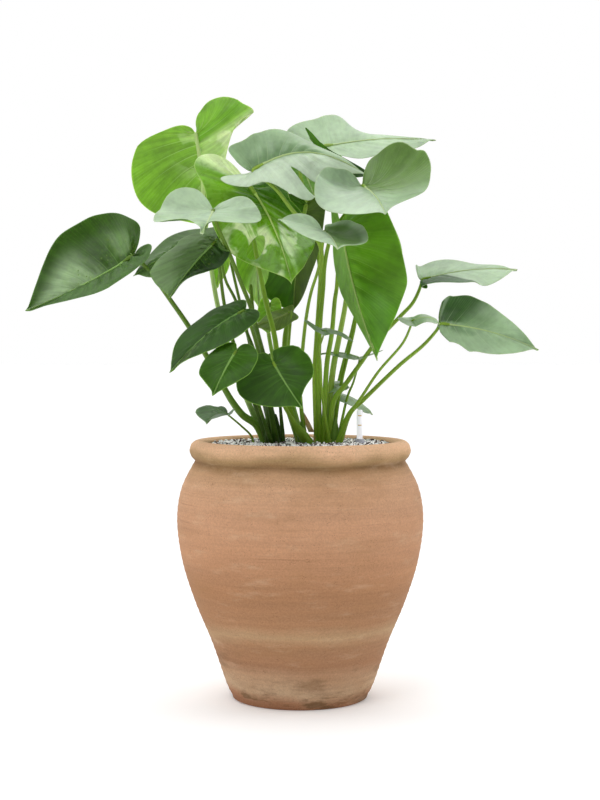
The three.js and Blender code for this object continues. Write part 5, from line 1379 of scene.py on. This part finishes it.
def build_gauge():
    """A clear tube with marks, a collar where it stands in the grains, and a float rod with a red end."""
    low, high = (corner.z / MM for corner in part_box("gauge_tube"))
    # Painted light: the tube glows faintly, standing in for light scattered through the milky plastic.
    painted_tube_glow = {"emission_color": (0.9, 0.9, 0.95), "emission_strength": 0.3}
    clear = plastic_look("gauge_clear", (0.95, 0.95, 0.97), 0.2, transmission_weight=0.15, ior=1.35, **painted_tube_glow)
    bore, outer = GAUGE["bore"], GAUGE["tube"]
    inside = [[0, high - 3], [2.6, high - 3], [bore, high - 3.6], [bore, low]]
    outside = [[outer, low], [outer, high - 2.2], [4.5, high - 0.7], [3.4, high], [0, high]]
    tube = on_gauge("gauge_clear_tube", inside + outside, 40, [clear])
    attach(tube, "planter")
    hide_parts("gauge_tube")

    lilac = plastic_look("gauge_collar_lilac", (0.42, 0.40, 0.49), 0.25, coat_weight=0.3)
    dark = plastic_look("gauge_collar_foot", (0.07, 0.06, 0.09), 0.4)
    base = GRAIN_TOP + CLEARANCE
    profile = [[radius, base + height] for radius, height in GAUGE_COLLAR]
    looks = [lilac, dark]
    collar = on_gauge("gauge_moulded_collar", profile, 48, looks, lambda z: min(z) < base + COLLAR_FOOT)
    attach(collar, "planter")
    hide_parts("gauge_collar")

    yellow = plastic_look("gauge_mark", (0.85, 0.55, 0.04), 0.4)
    angles = np.radians(np.linspace(MARKS["from"], MARKS["to"], 13))
    section = [(MARKS["inner"], 1), (MARKS["outer"], 1), (MARKS["outer"], -1), (MARKS["inner"], -1)]
    for number, height in enumerate(MARKS["heights"]):
        points = [
            [GAUGE["x"] + r * math.cos(a), GAUGE["y"] + r * math.sin(a), height + side * MARKS["half"]]
            for a in angles for r, side in section
        ]
        mark = make_piece(f"gauge_mark_{number}", points, rod_faces(len(angles), len(section)), [yellow])
        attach(mark, "planter")

    low, high = (corner.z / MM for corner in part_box("gauge_float"))
    red = plastic_look("gauge_red", (0.6, 0.06, 0.03), 0.3)
    white = plastic_look("gauge_rod", (0.82, 0.81, 0.8), 0.35)
    thin, thick = GAUGE["float"] - 0.1, GAUGE["float"]
    shaft = [[0, low], [thin, low], [thin, high - FLOAT_RED]]
    cap = [[thick, high - FLOAT_RED], [thick, high - 1.2], [1.6, high - 0.2], [0, high]]
    red_from = high - FLOAT_RED + 0.1
    rod = on_gauge("gauge_float_rod", shaft + cap, 24, [white, red], lambda z: max(z) > red_from)
    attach(rod, "float")
    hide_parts("gauge_float")


# Camera, floor and light.

def build_camera():
    camera = bpy.data.cameras.new("camera")
    camera.sensor_width = CAMERA["sensor"]
    camera.lens = CAMERA["lens"]
    camera.shift_y = CAMERA["shift"]
    holder = add_object("camera", camera)
    holder.location = (0, -CAMERA["distance"], CAMERA["height"])
    holder.rotation_euler = (math.radians(90), 0, 0)
    bpy.context.scene.camera = holder


def build_lamp(name, place, aim, size, power):
    lamp = bpy.data.lights.new(name, "AREA")
    lamp.shape = "RECTANGLE"
    lamp.size, lamp.size_y = size
    lamp.energy = power
    holder = add_object(name, lamp)
    holder.location = place
    holder.rotation_euler = (Vector(aim) - Vector(place)).to_track_quat("-Z", "Y").to_euler()


def build_world():
    """A white studio whose light falls mostly from above, and least from in front of the plant."""
    world = bpy.data.worlds.new("studio")
    world.use_nodes = True
    sky = Nodes(world.node_tree)
    way = sky.wire("ShaderNodeTexCoord", output="Generated")
    towards = sky.wire("ShaderNodeVectorMath", {0: way, 1: LIGHT_FROM}, "Value", operation="DOT_PRODUCT")
    above = sky.math("POWER", sky.math("MAXIMUM", towards, 0.0), LIGHT_NARROW)
    shining = above * LIGHT_ABOVE + (sky.parts(way)[1] * LIGHT_BACK + LIGHT_AROUND)
    path = sky.node("ShaderNodeLightPath").outputs
    seen = sky.math("MAXIMUM", Wire(sky, path["Is Camera Ray"]), Wire(sky, path["Is Transmission Ray"]))
    background = world.node_tree.nodes["Background"].inputs
    sky.feed(background["Strength"], shining * (1.0 - seen) + seen)
    sky.feed(background["Color"], (1, 1, 1))
    bpy.context.scene.world = world


def build_studio():
    """A wide white floor under the plant, and the light."""
    look = Look("studio_floor", roughness=0.9, specular_ior_level=0.1)
    look.set(emission_color=(1, 1, 1), emission_strength=0.13)
    cloud = look.noise(look.place(), 2.0, 2)
    look.set(base_color=look.mix(cloud.between(0.3, 0.7), (0.95, 0.95, 0.95), (0.93, 0.93, 0.93)))
    corners = [(-1, -1, 0), (1, -1, 0), (1, 1, 0), (-1, 1, 0)]
    floor = make_piece("studio_floor", np.array(corners) * FLOOR_SIZE / MM, [[0, 1, 2, 3]], [look.material])
    build_world()
    for lamp in LAMPS:
        build_lamp(*lamp)
    bpy.context.scene.view_settings.view_transform = "Standard"


build_camera()
build_studio()
# A stalk has the skin of its leaf's name, or else of its stem, or else the usual one.
STALK_SKINS = {
    # Painted light: the usual stalks are coloured bright down to their feet, against the shade among the
    # stems.
    "usual": stalk_look("stalk_skin", (0.20, 0.37, 0.02), (0.21, 0.35, 0.035)),
    "stem_left": stalk_look("stalk_dark_skin", (0.035, 0.095, 0.002), (0.13, 0.23, 0.02)),
    "leaf_top_left": stalk_look("stalk_pale_skin", (0.2, 0.34, 0.08), (0.42, 0.58, 0.2)),
    "leaf_far_left": stalk_look("stalk_bright_skin", (0.13, 0.27, 0.02), (0.10, 0.19, 0.02)),
    "leaf_far_silver": stalk_look("stalk_light_skin", (0.34, 0.52, 0.08), (0.32, 0.46, 0.10)),
    "leaf_silver_top": stalk_look("stalk_clear_skin", (0.28, 0.46, 0.04), (0.25, 0.40, 0.05)),
}
build_pot()
build_grains()
build_stems()
for number, leaf in enumerate(LEAVES):
    build_leaf(leaf, number)
build_gauge()
